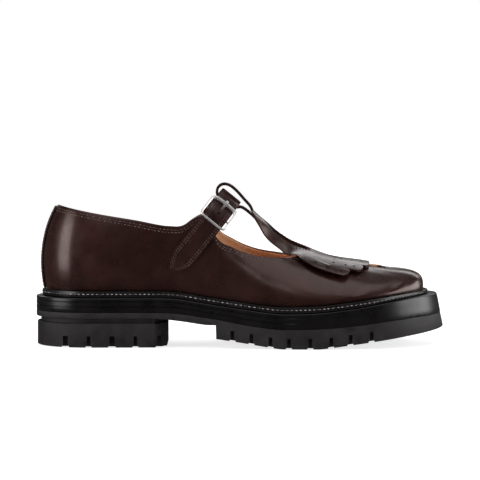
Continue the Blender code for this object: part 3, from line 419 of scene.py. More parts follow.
# The two lobes of the toe and the split between them, from lateral to medial.
lobes = (
    # x, y, topY, rise, lean, run, drop
    (0.968, -0.190, -0.064, 0.56, 0.040, 0.60, 0.56),
    (0.991, -0.070, -0.040, 0.80, 0.048, 0.64, 0.63),
    (0.994, 0.030, -0.020, 0.85, 0.050, 0.65, 0.65),
    (0.979, 0.088, -0.005, 0.83, 0.030, 0.62, 0.62),
    (0.945, None, 0.010, 0.80, 0.012, 0.56, 0.52),
    (0.924, None, 0.022, 0.85, 0.012, 0.65, 0.50),
    (None, None, 0.032, 0.85, 0.012, 0.70, 0.50),
    (0.924, None, 0.042, 0.85, 0.012, 0.65, 0.50),
    (0.945, None, 0.054, 0.80, 0.012, 0.56, 0.52),
    (0.981, 0.186, 0.066, 0.83, 0.030, 0.62, 0.62),
    (1.000, 0.250, 0.082, 0.85, 0.050, 0.65, 0.65),
    (0.992, 0.325, 0.100, 0.78, 0.048, 0.63, 0.62),
    (0.964, 0.376, 0.117, 0.54, 0.040, 0.58, 0.54),
)
throatX = 0.680
throatZ = 0.416


def upperRows():
    # The sections in order round the shoe: heel, lateral side, lobes, medial side.
    rows = []

    def add(x, y, topX, topY, topZ, shape, xIsShare=True):
        px = lastX(x) if xIsShare else x
        top = (lastX(topX), last["ballWidth"] * topY, sole["seatHeight"] + last["collarHeight"] * topZ)
        rows.append((px, y, *top, *shape))

    for row in sections:
        add(row[0], -last["ballWidth"] * row[1], row[3], -row[4], row[6], row[8:])
    rootX = heelX + last["length"] - cleft["length"]
    for k, (x, y, topY, rise, lean, run, drop) in enumerate(lobes):
        shape = (rise, lean, run, 0.0, drop)
        if x is None:
            add(rootX, cleft["y"], throatX, topY, throatZ, shape, False)
        elif y is None:
            side = -1 if k < len(lobes) // 2 else 1
            inside = 0.9 if x < 0.93 else 1.0
            add(x, cleft["y"] + side * inside * cleft["gap"] / 2, throatX, topY, throatZ, shape)
        else:
            add(x, last["ballWidth"] * y, throatX, topY, throatZ, shape)
    for row in sections[:0:-1]:
        add(row[0], last["ballWidth"] * row[2], row[3], row[5], row[6] - row[7], row[8:])
    return rows


def closedCurve(rows, steps):
    # Smooth values between the rows of a closed table, by distance in plan.
    count = len(rows)

    def gap(i):
        a, b = rows[i % count], rows[(i + 1) % count]
        return max(math.hypot(b[0] - a[0], b[1] - a[1]), 0.5)

    def slope(i, column):
        before, after = rows[(i - 1) % count], rows[(i + 1) % count]
        here = rows[i % count]
        h0, h1 = gap(i - 1), gap(i)
        left = (here[column] - before[column]) / h0
        right = (after[column] - here[column]) / h1
        return (left * h1 + right * h0) / (h0 + h1)

    found = []
    for i in range(count):
        for step in range(steps):
            t = step / steps
            length = gap(i)
            after = rows[(i + 1) % count]
            values = []
            for c in range(len(rows[0])):
                start, end = slope(i, c) * length, slope(i + 1, c) * length
                values.append(hermite(rows[i][c], after[c], start, end, t))
            found.append(values)
    return found


def bezier(p0, p1, p2, p3, t):
    s = 1 - t
    return p0 * s**3 + p1 * (3 * s * s * t) + p2 * (3 * s * t * t) + p3 * t**3


def upperGrid(steps, levels):
    # Outer face of the upper: one column of points for each station, feather line to topline.
    stations = closedCurve(upperRows(), steps)
    count = len(stations)
    columns = []
    for i, values in enumerate(stations):
        x, y, topX, topY, topZ, rise, lean, run, swell, drop = values
        before, after = stations[i - 1], stations[(i + 1) % count]
        along = Vector((after[0] - before[0], after[1] - before[1])).normalized()
        out = Vector((along.y, -along.x, 0))
        foot = Vector((x, axisY + y, seatZ(x) + last["gap"]))
        top = Vector((topX, axisY + topY, topZ))
        height = top.z - foot.z
        low = foot + Vector((0, 0, rise * height)) + out * lean * last["collarHeight"]
        high = top + (foot - top) * run + out * swell * last["collarHeight"]
        high.z = top.z - drop * height
        columns.append([bezier(foot, low, high, top, j / (levels - 1)) for j in range(levels)])
    return columns


def gridNormals(columns):
    # Outward normals of a closed grid of columns.
    count = len(columns)
    levels = len(columns[0])
    normals = []
    for i in range(count):
        line = []
        for j in range(levels):
            around = columns[(i + 1) % count][j] - columns[i - 1][j]
            up = columns[i][min(j + 1, levels - 1)] - columns[i][max(j - 1, 0)]
            line.append(around.cross(up).normalized())
        normals.append(line)
    return normals


def upperTree(columns):
    # The upper's outer face, for draping what lies on it.
    count = len(columns)
    levels = len(columns[0])
    points = [p for column in columns for p in column]
    faces = []
    for i in range(count):
        a, b = i * levels, (i + 1) % count * levels
        for j in range(levels - 1):
            faces.append((a + j, b + j, b + j + 1))
            faces.append((a + j, b + j + 1, a + j + 1))
    return BVHTree.FromPolygons(points, faces)


def addSheet(name, inner, outer, across, along, material, openings=()):
    # A closed sheet between two grids of points, with rows of the given width.
    #
    # Openings are cells, as row and column, that are left out of the sheet.
    base = len(inner)
    cells = [(j, k) for j in range(along - 1) for k in range(across - 1) if (j, k) not in openings]
    faces = []
    edges = {}
    for j, k in cells:
        a = j * across + k
        corners = (a, a + 1, a + 1 + across, a + across)
        faces.append(corners)
        faces.append(tuple(base + c for c in reversed(corners)))
        for edge in zip(corners, corners[1:] + corners[:1]):
            key = tuple(sorted(edge))
            edges[key] = None if key in edges else edge
    for edge in edges.values():
        if edge:
            a, b = edge
            faces.append((b, a, base + a, base + b))
    return addObject(name, inner + outer, faces, material)


# Cross strap, from its medial root over the foot to its point.
strap = {
    "width": 15.4,
    "thickness": 2.0,
    "slant": 51.0,
    "rise": 38.0,
    "halfSpan": 0.389 * last["ballWidth"],
    "settle": 16.0,
    "tail": 24.0,
    "root": 12.0,
    "buckleDrop": 13.4,
    "point": 13.0,
    "sag": 0.3,
    "hump": 0.6,
    "blunt": 0.26,
    "apexX": 0.489,
    "apexZ": 1.1075,
}


def strapFrame():
    # Apex of the cross strap with its three directions: down the foot, across the strap, outward.
    slant = math.radians(strap["slant"])
    along = Vector((-math.cos(slant), 0, -math.sin(slant)))
    width = Vector((math.sin(slant), 0, -math.cos(slant)))
    apexZ = sole["seatHeight"] + strap["apexZ"] * last["collarHeight"]
    return Vector((lastX(strap["apexX"]), axisY, apexZ)), along, width


def strapPath():
    # Middle line of the strap as an arch with straight ends, with its length from the apex.
    apex, along, _ = strapFrame()
    found = []
    steps = 60
    for k in range(steps + 1):
        angle = -math.pi / 2 + math.pi * k / steps
        drop = strap["rise"] * (1 - math.cos(angle))
        found.append(apex + along * drop + Vector((0, -strap["halfSpan"] * math.sin(angle), 0)))
    start = [found[0] + along * strap["root"] * t for t in (1.0, 0.5)]
    end = [found[-1] + along * strap["tail"] * t for t in (0.25, 0.5, 0.75, 1.0)]
    path = start + found + end
    lengths = [0.0]
    for a, b in zip(path, path[1:]):
        lengths.append(lengths[-1] + (b - a).length)
    middle = lengths[2 + steps // 2]
    return path, [length - middle for length in lengths]


def strapAt(path, lengths, at):
    # Point, direction and outward normal of the strap at a length from its apex.
    width = strapFrame()[2]
    k = 0
    while k < len(lengths) - 2 and lengths[k + 1] < at:
        k += 1
    t = (at - lengths[k]) / (lengths[k + 1] - lengths[k])
    spot = path[k].lerp(path[k + 1], t)
    along = (path[min(k + 2, len(path) - 1)] - path[max(k - 1, 0)]).normalized()
    return spot, along, along.cross(width).normalized()


# Buckle: a rounded frame, its centre bar and its prong.
buckle = {
    "length": 19.4,
    "width": 21.2,
    "wire": 1.6,
    "frontWire": 2.4,
    "frontBow": 0.8,
    "barWire": 1.2,
    "corner": 3.0,
    "lift": 1.4,
    "barDrop": 1.0,
    "prongWidth": 1.8,
    "prongThickness": 1.2,
}


def buckleLength():
    # Length along the strap from its apex to the middle of the buckle.
    apex, along, _ = strapFrame()
    path, lengths = strapPath()
    for point, length in zip(path, lengths):
        if length > 0 and (point - apex).dot(along) >= strap["buckleDrop"]:
            return length
    return lengths[-1]


def weave(s):
    # How far the strap rises from its plain arch where it passes through the buckle.
    bar = buckle["length"] / 2 - buckle["wire"] / 2
    if abs(s) <= bar:
        return strap["sag"] + strap["hump"] * math.cos(math.pi * s / bar)
    return -strap["sag"] * max(0.0, 1 - (abs(s) - bar) / bar)


def tailHalfWidth(left):
    # Half width of the strap at a distance from its pointed end.
    full = strap["width"] / 2
    if left >= strap["point"]:
        return full
    blunt = strap["blunt"]
    return full * (blunt + (1 - blunt) * math.sin(math.pi / 2 * left / strap["point"]))


def addTube(name, path, radii, sides, material, closed=False, normal=None):
    # A tube round a path, with a radius for each of its points.
    count = len(path)
    points = []
    for k, spot in enumerate(path):
        before = path[k - 1] if closed or k else path[k]
        after = path[(k + 1) % count] if closed or k < count - 1 else path[k]
        along = (after - before).normalized()
        up = normal - along * normal.dot(along)
        up.normalize()
        side = along.cross(up)
        for m in range(sides):
            angle = 2 * math.pi * (m + 0.5) / sides
            points.append(spot + (side * math.cos(angle) + up * math.sin(angle)) * radii[k])
    faces = ringFaces(0, sides, count, closed)
    if not closed:
        faces.append(tuple(range(sides)))
        faces.append(tuple(range((count - 1) * sides, count * sides)))
    return addObject(name, points, faces, material)


def buckleFrameAxes():
    # Middle of the buckle with the directions along and across the strap and outward.
    spot, along, normal = strapAt(*strapPath(), buckleLength())
    return spot, along, strapFrame()[2], normal


def ribbon(path, thickness):
    # Left and right sides of a bent strip of even thickness, in its own plane.
    sides = ([], [])
    for k, (s, n) in enumerate(path):
        s0, n0 = path[max(k - 1, 0)]
        s1, n1 = path[min(k + 1, len(path) - 1)]
        length = math.hypot(s1 - s0, n1 - n0)
        off = (-(n1 - n0) / length * thickness / 2, (s1 - s0) / length * thickness / 2)
        sides[0].append((s + off[0], n + off[1]))
        sides[1].append((s - off[0], n - off[1]))
    return sides


def addStrip(name, path, thickness, stripWidth, material):
    # A strip bent in the buckle's plane of length and height, straight across.
    spot, along, width, normal = buckleFrameAxes()
    left, right = ribbon(path, thickness)
    inner, outer = [], []
    for (s0, n0), (s1, n1) in zip(left, right):
        for side in (-0.5, 0.5):
            inner.append(spot + along * s0 + normal * n0 + width * side * stripWidth)
            outer.append(spot + along * s1 + normal * n1 + width * side * stripWidth)
    return addSheet(name, inner, outer, 2, len(path), material)


def arcPath(radius, start, end, steps, middle=(0.0, 0.0)):
    # Points on an arc between two angles in degrees.
    found = []
    for k in range(steps + 1):
        angle = math.radians(start + (end - start) * k / steps)
        found.append((middle[0] + radius * math.cos(angle), middle[1] + radius * math.sin(angle)))
    return found


def addProngSlot(name, obj, start, end):
    # Clears the prong's way through a piece of leather.
    width = buckle["prongWidth"] + 2 * last["gap"]
    addCut(obj, addStrip(name, [(start, 0.0), (end, 0.0)], 4 * strap["thickness"], width, None))


# T-strap and fringe.
kiltie = {
    "loopWidth": 9.0,
    "loopReach": 2.5,
    "width": 84.0,
    "thickness": 1.8,
    "lift": 0.8,
    "edgeLift": 1.2,
    "roll": 14.0,
    "fringeRoll": 8.0,
    "teardropStart": 0.559,
    "teardropEnd": 0.682,
    "teardropWidth": 9.6,
    "fingerCount": 6,
    "fingerStart": 0.758,
    "fingerEnd": 0.856,
    "fingerSweep": 13.0,
    "fingerGap": 0.9,
    "fingerChamfer": 1.4,
    "rimReach": 1.8,
}

# The slotted T-strap and its fringe, from the loop to the tips of the fringe: the height of
# the top face as a share of last["collarHeight"], the others as shares of kiltie["width"].
kiltieSections = (
    # x, top, halfWidth, radius
    (0.5200, 1.095, 0.058, 1.000),
    (0.5415, 0.972, 0.082, 0.450),
    (0.5630, 0.872, 0.112, 0.270),
    (0.5848, 0.785, 0.138, 0.210),
    (0.6059, 0.692, 0.148, 0.190),
    (0.6371, 0.586, 0.166, 0.230),
    (0.6605, 0.527, 0.246, 0.350),
    (0.6918, 0.472, 0.366, 0.425),
    (0.7219, 0.420, 0.436, 0.480),
    (0.7535, 0.370, 0.486, 0.510),
    (0.7746, 0.348, 0.508, 0.522),
    (0.8168, 0.322, 0.520, 0.545),
    (0.8559, 0.296, 0.524, 0.565),
)


def kiltiePoint(x, v):
    # Top face of the T-strap and fringe at a distance from the middle line, and its normal.
    share = shareOf(x)
    step = 0.002
    before, z, after = (through(kiltieSections, 1, share + ahead) for ahead in (-step, 0.0, step))
    rise = last["collarHeight"] * (after - before)
    z *= last["collarHeight"]
    out = Vector((-rise, 0, 2 * step * last["length"])).normalized()
    radius = kiltie["width"] * through(kiltieSections, 3, share)
    angle = v / radius
    side, height = radius * math.sin(angle), radius * (math.cos(angle) - 1)
    start, end = kiltie["teardropStart"], kiltie["teardropEnd"]
    fading = smoothstep(end - 0.03, kiltie["fingerStart"], share)
    turned = kiltie["roll"] + (kiltie["fringeRoll"] - kiltie["roll"]) * fading
    roll = math.radians(turned) * smoothstep(start - 0.02, start + 0.06, share)
    y = side * math.cos(roll) - height * math.sin(roll)
    h = height * math.cos(roll) + side * math.sin(roll)
    spot = Vector((x, axisY + y, sole["seatHeight"] + z)) + out * h
    lean = angle - roll
    return spot, out * math.cos(lean) + Vector((0, math.sin(lean), 0))


def clearance(tree, low, v):
    # How far a point under the T-strap has to rise to clear the vamp and its edge.
    rise = 0.0
    side = 1 if v > 0 else -1
    lift = kiltie["lift"] + kiltie["edgeLift"] * (2 * v / kiltie["width"]) ** 2
    edge = kiltie["rimReach"] * last["wall"]
    for ahead, out in ((0.0, 0.0), (edge, 0.0), (edge, side * edge), (0.0, side * edge)):
        start = low + Vector((ahead, out, last["collarHeight"]))
        hit, slope, _, _ = tree.ray_cast(start, down)
        if hit:
            rise = max(rise, hit.z + lift / max(abs(slope.z), 0.3) - low.z)
        if hit and not ahead and not out:
            break
    return rise


def linear(code):
    # An sRGB hex colour as linear values.
    found = []
    for k in (1, 3, 5):
        value = int(code[k:k + 2], 16) / 255
        found.append(value / 12.92 if value <= 0.04045 else ((value + 0.055) / 1.055) ** 2.4)
    return (*found, 1.0)


def addNode(tree, kind, inputs=None, **settings):
    # Adds a shader node. An input is a value, or a socket to link from.
    node = tree.nodes.new(kind)
    for name, value in settings.items():
        setattr(node, name, value)
    for name, value in (inputs or {}).items():
        if isinstance(value, bpy.types.NodeSocket):
            tree.links.new(value, node.inputs[name])
        else:
            node.inputs[name].default_value = value
    return node


def perMillimetre(size):
    # Texture scale whose pattern repeats about every size millimetres.
    return 1 / (size * mm)


def addMaterial(name):
    material = bpy.data.materials.new(name)
    material.use_nodes = True
    tree = material.node_tree
    tree.nodes.clear()
    return material, tree, addNode(tree, "ShaderNodeOutputMaterial")


def startMaterial(name):
    # A principled material, with the object's own coordinates for its patterns.
    material, tree, output = addMaterial(name)
    shader = addNode(tree, "ShaderNodeBsdfPrincipled")
    tree.links.new(shader.outputs["BSDF"], output.inputs["Surface"])
    where = addNode(tree, "ShaderNodeTexCoord").outputs["Object"]
    return material, tree, shader, where


def addNoise(tree, where, size, detail=3.0, roughness=0.55, distortion=0.0):
    values = {"Vector": where, "Scale": perMillimetre(size), "Detail": detail}
    values.update({"Roughness": roughness, "Distortion": distortion})
    return addNode(tree, "ShaderNodeTexNoise", values).outputs["Fac"]


def addRange(tree, value, low, high, toLow, toHigh):
    values = {"Value": value, "From Min": low, "From Max": high, "To Min": toLow, "To Max": toHigh}
    return addNode(tree, "ShaderNodeMapRange", values).outputs["Result"]


def addBlend(tree, factor, first, second):
    values = {"Factor": factor, 6: first, 7: second}
    return addNode(tree, "ShaderNodeMix", values, data_type="RGBA").outputs[2]


def colourBy(tree, shader, factor, look):
    # Base colour between the dark and the light tone of a finish.
    tones = addBlend(tree, factor, linear(look["dark"]), linear(look["light"]))
    tree.links.new(tones, shader.inputs["Base Color"])


def roughenBy(tree, shader, value, span, middle, less, more, name="Roughness"):
    # Roughness that wanders round the finish's own, over a span of the noise.
    rough = addRange(tree, value, *span, middle - less, middle + more)
    tree.links.new(rough, shader.inputs[name])


def stretched(tree, where, scale):
    return addNode(tree, "ShaderNodeMapping", {"Vector": where, "Scale": scale}).outputs["Vector"]


def addBumps(tree, shader, layers):
    # Each layer is a height, its depth in millimetres and its strength.
    normal = None
    for height, depth, strength in layers:
        values = {"Height": height, "Distance": depth * mm, "Strength": strength}
        if normal:
            values["Normal"] = normal
        normal = addNode(tree, "ShaderNodeBump", values).outputs["Normal"]
    tree.links.new(normal, shader.inputs["Normal"])
    return normal


# Box leather: calf, dyed through, buffed and finished with a hard glossy resin coat.
glossLeather = {
    "dark": "#200d0a",
    "light": "#301814",
    "cloud": 22.0,
    "roughness": 0.30,
    "coat": 0.25,
    "coatRoughness": 0.12,
    "sheenTint": "#ffdcd5",
    "grain": 0.55,
    "grainDepth": 0.012,
    "wave": 13.0,
    "waveDepth": 0.10,
    "scuffs": 0.0,
}
# Strap leather: the same calf, waxed by hand after finishing, so its coat is thicker and hazier.
waxedLeather = {**glossLeather, "coat": 0.5, "coatRoughness": 0.2, "grain": 0.45, "scuffs": 0.04}


def makeGlossLeather(name, look):
    material, tree, shader, where = startMaterial(name)
    cloud = addNoise(tree, where, look["cloud"], 4.0)
    colourBy(tree, shader, addRange(tree, cloud, 0.35, 0.68, 0.0, 1.0), look)
    smear = addNoise(tree, where, look["cloud"] * 0.35, 5.0, 0.62, 0.6)
    scuffs = look["scuffs"]
    roughenBy(tree, shader, smear, (0.3, 0.75), look["roughness"], 0.06, 0.10 + scuffs)
    roughenBy(tree, shader, smear, (0.35, 0.8), look["coatRoughness"], 0.0, 0.08 + scuffs, "Coat Roughness")
    shader.inputs["Coat Weight"].default_value = look["coat"]
    shader.inputs["Coat IOR"].default_value = 1.5
    shader.inputs["Specular IOR Level"].default_value = 0.62
    shader.inputs["Specular Tint"].default_value = linear(look["sheenTint"])
    cells = {"Vector": where, "Scale": perMillimetre(look["grain"]), "Randomness": 1.0}
    pebble = addNode(tree, "ShaderNodeTexVoronoi", cells, feature="SMOOTH_F1").outputs["Distance"]
    pores = addNoise(tree, where, look["grain"] * 0.6, 4.0, 0.7)
    wave = addNoise(tree, where, look["wave"], 2.0, 0.45)
    depth = look["grainDepth"]
    layers = [(wave, look["waveDepth"], 1.0), (pebble, depth, 0.35), (pores, depth, 0.25)]
    normal = addBumps(tree, shader, layers)
    tree.links.new(normal, shader.inputs["Coat Normal"])
    return material


# Leather edge: cut, sanded and painted, so a little uneven and less glossy than the face.
edgePaint = {"dark": "#160b0a", "light": "#241312", "roughness": 0.42, "streak": 3.0, "depth": 0.05}


def makeEdgePaint(name, look):
    material, tree, shader, where = startMaterial(name)
    streak = addNoise(tree, where, look["streak"], 5.0, 0.6)
    colourBy(tree, shader, streak, look)
    fine = addNoise(tree, where, look["streak"] * 0.2, 3.0)
    roughenBy(tree, shader, fine, (0.3, 0.7), look["roughness"], 0.08, 0.1)
    addBumps(tree, shader, [(streak, look["depth"], 0.5), (fine, look["depth"] * 0.4, 0.5)])
    return material


# Lining: vegetable-tanned pigskin with a fine nap, a little darker where hands and heels rub it.
napLining = {
    "dark": "#cf8a58",
    "light": "#fbc699",
    "cloud": 18.0,
    "nap": 0.35,
    "pore": 1.6,
    "depth": 0.03,
}


def makeLining(name, look):
    material, tree, shader, where = startMaterial(name)
    cloud = addNoise(tree, where, look["cloud"], 5.0, 0.6)
    nap = addNoise(tree, where, look["nap"], 4.0, 0.7)
    dark, light = linear(look["dark"]), linear(look["light"])
    base = addBlend(tree, addRange(tree, cloud, 0.3, 0.7, 0.2, 1.0), dark, light)
    shade = addRange(tree, nap, 0.3, 0.7, 0.0, 0.35)
    tree.links.new(addBlend(tree, shade, base, dark), shader.inputs["Base Color"])
    shader.inputs["Roughness"].default_value = 0.82
    shader.inputs["Sheen Weight"].default_value = 0.25
    shader.inputs["Sheen Roughness"].default_value = 0.45
    pore = {"Vector": where, "Scale": perMillimetre(look["pore"]), "Randomness": 0.9}
    dots = addNode(tree, "ShaderNodeTexVoronoi", pore).outputs["Distance"]
    hole = addRange(tree, dots, 0.0, 0.25, 0.0, 1.0)
    addBumps(tree, shader, [(hole, look["depth"], 0.35), (nap, look["depth"], 0.8)])
    return material


# Moulded rubber: gloss comes from the polished mould, the dull patches from handling.
moulded = {
    "dark": "#090708",
    "light": "#131011",
    "roughness": 0.27,
    "patch": 16.0,
    "grain": 0.5,
    "depth": 0.012,
}
# Tread rubber: left matt by a blasted mould.
treadRubber = {
    "dark": "#191618",
    "light": "#2c272a",
    "roughness": 0.62,
    "patch": 9.0,
    "grain": 0.35,
    "depth": 0.03,
}
# Welt rubber: an extruded strip, ground level with the midsole.
weltRubber = {
    "dark": "#0d0b0b",
    "light": "#191516",
    "roughness": 0.3,
    "patch": 12.0,
    "grain": 0.6,
    "depth": 0.02,
}


def makeRubber(name, look):
    material, tree, shader, where = startMaterial(name)
    patch = addNoise(tree, where, look["patch"], 5.0, 0.6, 0.3)
    fine = addNoise(tree, where, look["grain"], 4.0, 0.65)
    colourBy(tree, shader, addRange(tree, patch, 0.3, 0.7, 0.0, 1.0), look)
    roughenBy(tree, shader, patch, (0.3, 0.72), look["roughness"], 0.05, 0.12)
    drawn = addNoise(tree, stretched(tree, where, (0.08, 0.08, 1.0)), look["grain"] * 1.6, 3.0)
    addBumps(tree, shader, [(drawn, look["depth"], 0.5), (fine, look["depth"], 0.8)])
    return material


# Buckle steel: cast, tumbled and nickel plated, with hairline scratches from polishing.
steel = {"colour": "#fbf8f7", "roughness": 0.34, "hair": 0.25, "depth": 0.004}


def makeSteel(name, look):
    material, tree, shader, where = startMaterial(name)
    shader.inputs["Base Color"].default_value = linear(look["colour"])
    shader.inputs["Metallic"].default_value = 0.85
    hair = addNoise(tree, stretched(tree, where, (0.1, 1.0, 1.0)), look["hair"], 3.0, 0.7)
    roughenBy(tree, shader, hair, (0.3, 0.7), look["roughness"], 0.05, 0.08)
    addBumps(tree, shader, [(hair, look["depth"], 0.5)])
    return material


# Waxed thread: two plies twisted, so it has slanting ridges about every half millimetre. The light tone on
# the ridges is a painted glint, and the sole thread's pale grey is painted glints on black thread.
darkThreadGlint = {"dark": "#3a2320", "light": "#74605a", "ply": 0.6, "roughness": 0.45}
paleThreadGlint = {"dark": "#a98a6c", "light": "#d8c3a6", "ply": 0.6, "roughness": 0.7}
soleThreadGlint = {"dark": "#3a3536", "light": "#b5aeb0", "ply": 0.7, "roughness": 0.4}


def makeThread(name, look):
    material, tree, shader, where = startMaterial(name)
    scale = perMillimetre(look["ply"]) / 6.28
    values = {"Vector": where, "Scale": scale, "Distortion": 0.6, "Detail": 1.0}
    ply = addNode(tree, "ShaderNodeTexWave", values, bands_direction="DIAGONAL").outputs["Fac"]
    # The ply ridges take the light tone, which is a painted glint.
    colourBy(tree, shader, ply, look)
    shader.inputs["Roughness"].default_value = look["roughness"]
    addBumps(tree, shader, [(ply, 0.08, 0.6)])
    return material


# Punched hole: painted shadow of the hole's depth, near black and mottled like the raw fibres that the
# punch tore.
holeShadow = {"dark": "#050303", "light": "#140a08", "fibre": 0.3}


def makePunched(name, look):
    material, tree, shader, where = startMaterial(name)
    colourBy(tree, shader, addNoise(tree, where, look["fibre"], 3.0), look)
    shader.inputs["Roughness"].default_value = 0.95
    shader.inputs["Specular IOR Level"].default_value = 0.1
    return material


def bake(obj, *cutters):
    # Turns the modifiers into plain faces, so that the cut edges can be shaded sharp.
    graph = bpy.context.evaluated_depsgraph_get()
    mesh = bpy.data.meshes.new_from_object(obj.evaluated_get(graph))
    obj.modifiers.clear()
    obj.data = mesh
    shadeSmooth(mesh)
    for cutter in cutters:
        bpy.data.objects.remove(cutter, do_unlink=True)


def soften(obj, width, segments=2, angle=40):
    bevel = obj.modifiers.new("softEdge", "BEVEL")
    bevel.width = width * mm
    bevel.segments = segments
    bevel.limit_method = "ANGLE"
    bevel.angle_limit = math.radians(angle)
    bevel.harden_normals = True


def dress(obj, slotName, *nodes):
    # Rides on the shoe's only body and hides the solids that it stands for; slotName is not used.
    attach(obj, "root")
    if nodes:
        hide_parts(*nodes)


def smoothPath(points, times):
    # More points on a smooth curve through an open line of points.
    found = []
    for k in range(len(points) - 1):
        before, after = points[max(k - 1, 0)], points[min(k + 2, len(points) - 1)]
        a, b = points[k], points[k + 1]
        for step in range(times):
            t = step / times
            found.append(hermite(a, b, (b - before) * 0.5, (after - a) * 0.5, t))
    found.append(points[-1])
    return found


def evenly(path, pitch, closed=False):
    # Points, directions and normals at even steps along a line of points with normals.
    line = path + [path[0]] if closed else path
    lengths = [0.0]
    for (a, _), (b, _) in zip(line, line[1:]):
        lengths.append(lengths[-1] + (b - a).length)
    count = max(1, int(lengths[-1] / pitch))
    found = []
    k = 0
    for i in range(count):
        at = (i + 0.5) * lengths[-1] / count
        while lengths[k + 1] < at:
            k += 1
        (a, na), (b, nb) = line[k], line[k + 1]
        t = (at - lengths[k]) / max(lengths[k + 1] - lengths[k], 1e-9)
        found.append((a.lerp(b, t), (b - a).normalized(), na.lerp(nb, t).normalized()))
    return found


def addStitches(name, lines, pitch, material, length=0.72, radius=0.26, proud=0.5, closed=False):
    # Short arched stitches along several lines, in one object.
    points, faces = [], []
    sides = 6
    profile = ((-1.0, 0.35), (-0.6, 0.9), (0.0, 1.0), (0.6, 0.9), (1.0, 0.35))
    for line in lines:
        for spot, along, normal in evenly(line, pitch, closed):
            side = along.cross(normal).normalized()
            base = len(points)
            for u, share in profile:
                centre = spot + along * u * pitch * length / 2 + normal * radius * (proud - 0.9 * u * u)
                for m in range(sides):
                    angle = 2 * math.pi * m / sides
                    off = side * math.cos(angle) * 1.15 + normal * math.sin(angle)
                    points.append(centre + off * radius * share)
            faces += ringFaces(base, sides, len(profile))
            faces.append(tuple(base + m for m in range(sides)))
            tip = base + (len(profile) - 1) * sides
            faces.append(tuple(tip + m for m in range(sides)))
    return addObject(name, points, faces, material)


def addHoles(name, spots, radius, material):
    # Punched holes shown as dished discs whose dark colour is painted shadow in place of a cut hole. A spot
    # is a point and its normal.
    points, faces = [], []
    sides = 16
    dish = ((1.0, 0.07), (0.8, 0.05), (0.35, 0.03))
    for spot, normal in spots:
        side = normal.cross(Vector((0.3, 1.0, 0.2))).normalized()
        other = normal.cross(side)
        base = len(points)
        for share, lift in dish:
            for m in range(sides):
                angle = 2 * math.pi * m / sides
                off = side * math.cos(angle) + other * math.sin(angle)
                points.append(spot + off * radius * share + normal * lift)
        faces += ringFaces(base, sides, len(dish))
        faces.append(tuple(base + (len(dish) - 1) * sides + m for m in range(sides)))
    return addObject(name, points, faces, material)


def downFrom(column, normals, distance):
    # Point and normal on a column of the upper, at a distance below its top.
    left = distance
    for j in range(len(column) - 1, 0, -1):
        step = (column[j] - column[j - 1]).length
        if left <= step:
            t = left / step
            return column[j].lerp(column[j - 1], t), normals[j].lerp(normals[j - 1], t).normalized()
        left -= step
    return column[0], normals[0]


# Upper: its grid, layers and seams, and the marks of wear and lasting, which are troughs and
# ridges from one point in plan to another.
upper = {
    "steps": 10,
    "levels": 64,
    "leather": 1.25,
    "liningGap": 0.02,
    "liningDrop": 0.7,
    "innerShift": 0.6,
    "creasedBelow": 0.9,
    "stitchRows": (2.0, 3.7),
    "stitchPitch": 2.3,
    "creases": (
        # x0, y0, x1, y1, width, depth
        (72.0, -44.0, 84.0, -22.0, 3.2, -0.34),
        (76.0, -42.0, 88.0, -24.0, 2.6, 0.22),
        (60.0, -46.0, 70.0, -30.0, 3.8, -0.26),
        (88.0, -38.0, 104.0, -20.0, 3.0, -0.28),
        (94.0, -36.0, 112.0, -14.0, 2.6, 0.20),
        (100.0, -30.0, 116.0, -10.0, 2.4, -0.18),
        (20.0, -41.0, 52.0, -46.0, 5.0, -0.24),
        (-30.0, -34.0, 4.0, -38.0, 7.0, -0.30),
        (-112.0, -24.0, -96.0, -34.0, 6.0, -0.22),
        (70.0, 42.0, 86.0, 24.0, 3.2, -0.34),
        (90.0, 38.0, 106.0, 26.0, 2.8, -0.26),
        (98.0, -2.0, 110.0, 2.0, 3.0, -0.20),
        (92.0, 24.0, 108.0, 26.0, 3.0, -0.20),
    ),
}


def creaseAt(spot):
    # How far the leather is pushed out or in at a point, by the creases near it.
    total = 0.0
    for x0, y0, x1, y1, width, depth in upper["creases"]:
        dx, dy = x1 - x0, y1 - y0
        length = math.hypot(dx, dy)
        along = ((spot.x - x0) * dx + (spot.y - y0) * dy) / length
        bend = 0.12 * length * math.sin(math.pi * min(max(along / length, 0.0), 1.0))
        away = ((spot.x - x0) * dy - (spot.y - y0) * dx) / length - bend
        fade = smoothstep(-0.25, 0.3, along / length) * (1 - smoothstep(0.7, 1.25, along / length))
        total += depth * fade * math.exp(-(away / width) ** 2)
    return total


def dressedColumns(steps, levels):
    # The upper's outer face with its creases, which fade at the feather line and the topline.
    columns = upperGrid(steps, levels)
    normals = gridNormals(columns)
    for column, line in zip(columns, normals):
        for j in range(levels):
            t = j / (levels - 1)
            fade = smoothstep(0.04, 0.2, t) * (1 - smoothstep(0.9, 1.0, t))
            if column[j].z < sole["seatHeight"] + last["collarHeight"] * upper["creasedBelow"]:
                column[j] = column[j] + line[j] * creaseAt(column[j]) * fade
    return columns, gridNormals(columns)


def addShell(name, columns, normals, outside, inside, material, drop=0.0):
    # A layer of the upper between two depths under its outer face, with a rounded top edge.
    count = len(columns)
    levels = len(columns[0])
    rings = []
    for j in range(levels):
        rings.append([c[j] - n[j] * outside for c, n in zip(columns, normals)])
    thick = inside - outside
    turns = 5
    for k in range(1, turns):
        angle = math.pi * k / turns
        ring = []
        for c, n in zip(columns, normals):
            up = (c[-1] - c[-2]).normalized()
            middle = c[-1] - n[-1] * (outside + thick / 2) - up * drop
            ring.append(middle + n[-1] * math.cos(angle) * thick / 2 + up * math.sin(angle) * thick / 2)
        rings.append(ring)
    for j in reversed(range(levels)):
        ring = []
        for c, n in zip(columns, normals):
            flat = Vector((n[j].x, n[j].y, 0)).normalized() if j == 0 else n[j]
            up = (c[-1] - c[-2]).normalized() * (drop if j == levels - 1 else 0.0)
            ring.append(c[j] - flat * inside - up)
        rings.append(ring)
    points = [p for ring in rings for p in ring]
    return addObject(name, points, ringFaces(0, count, len(rings), True), material)


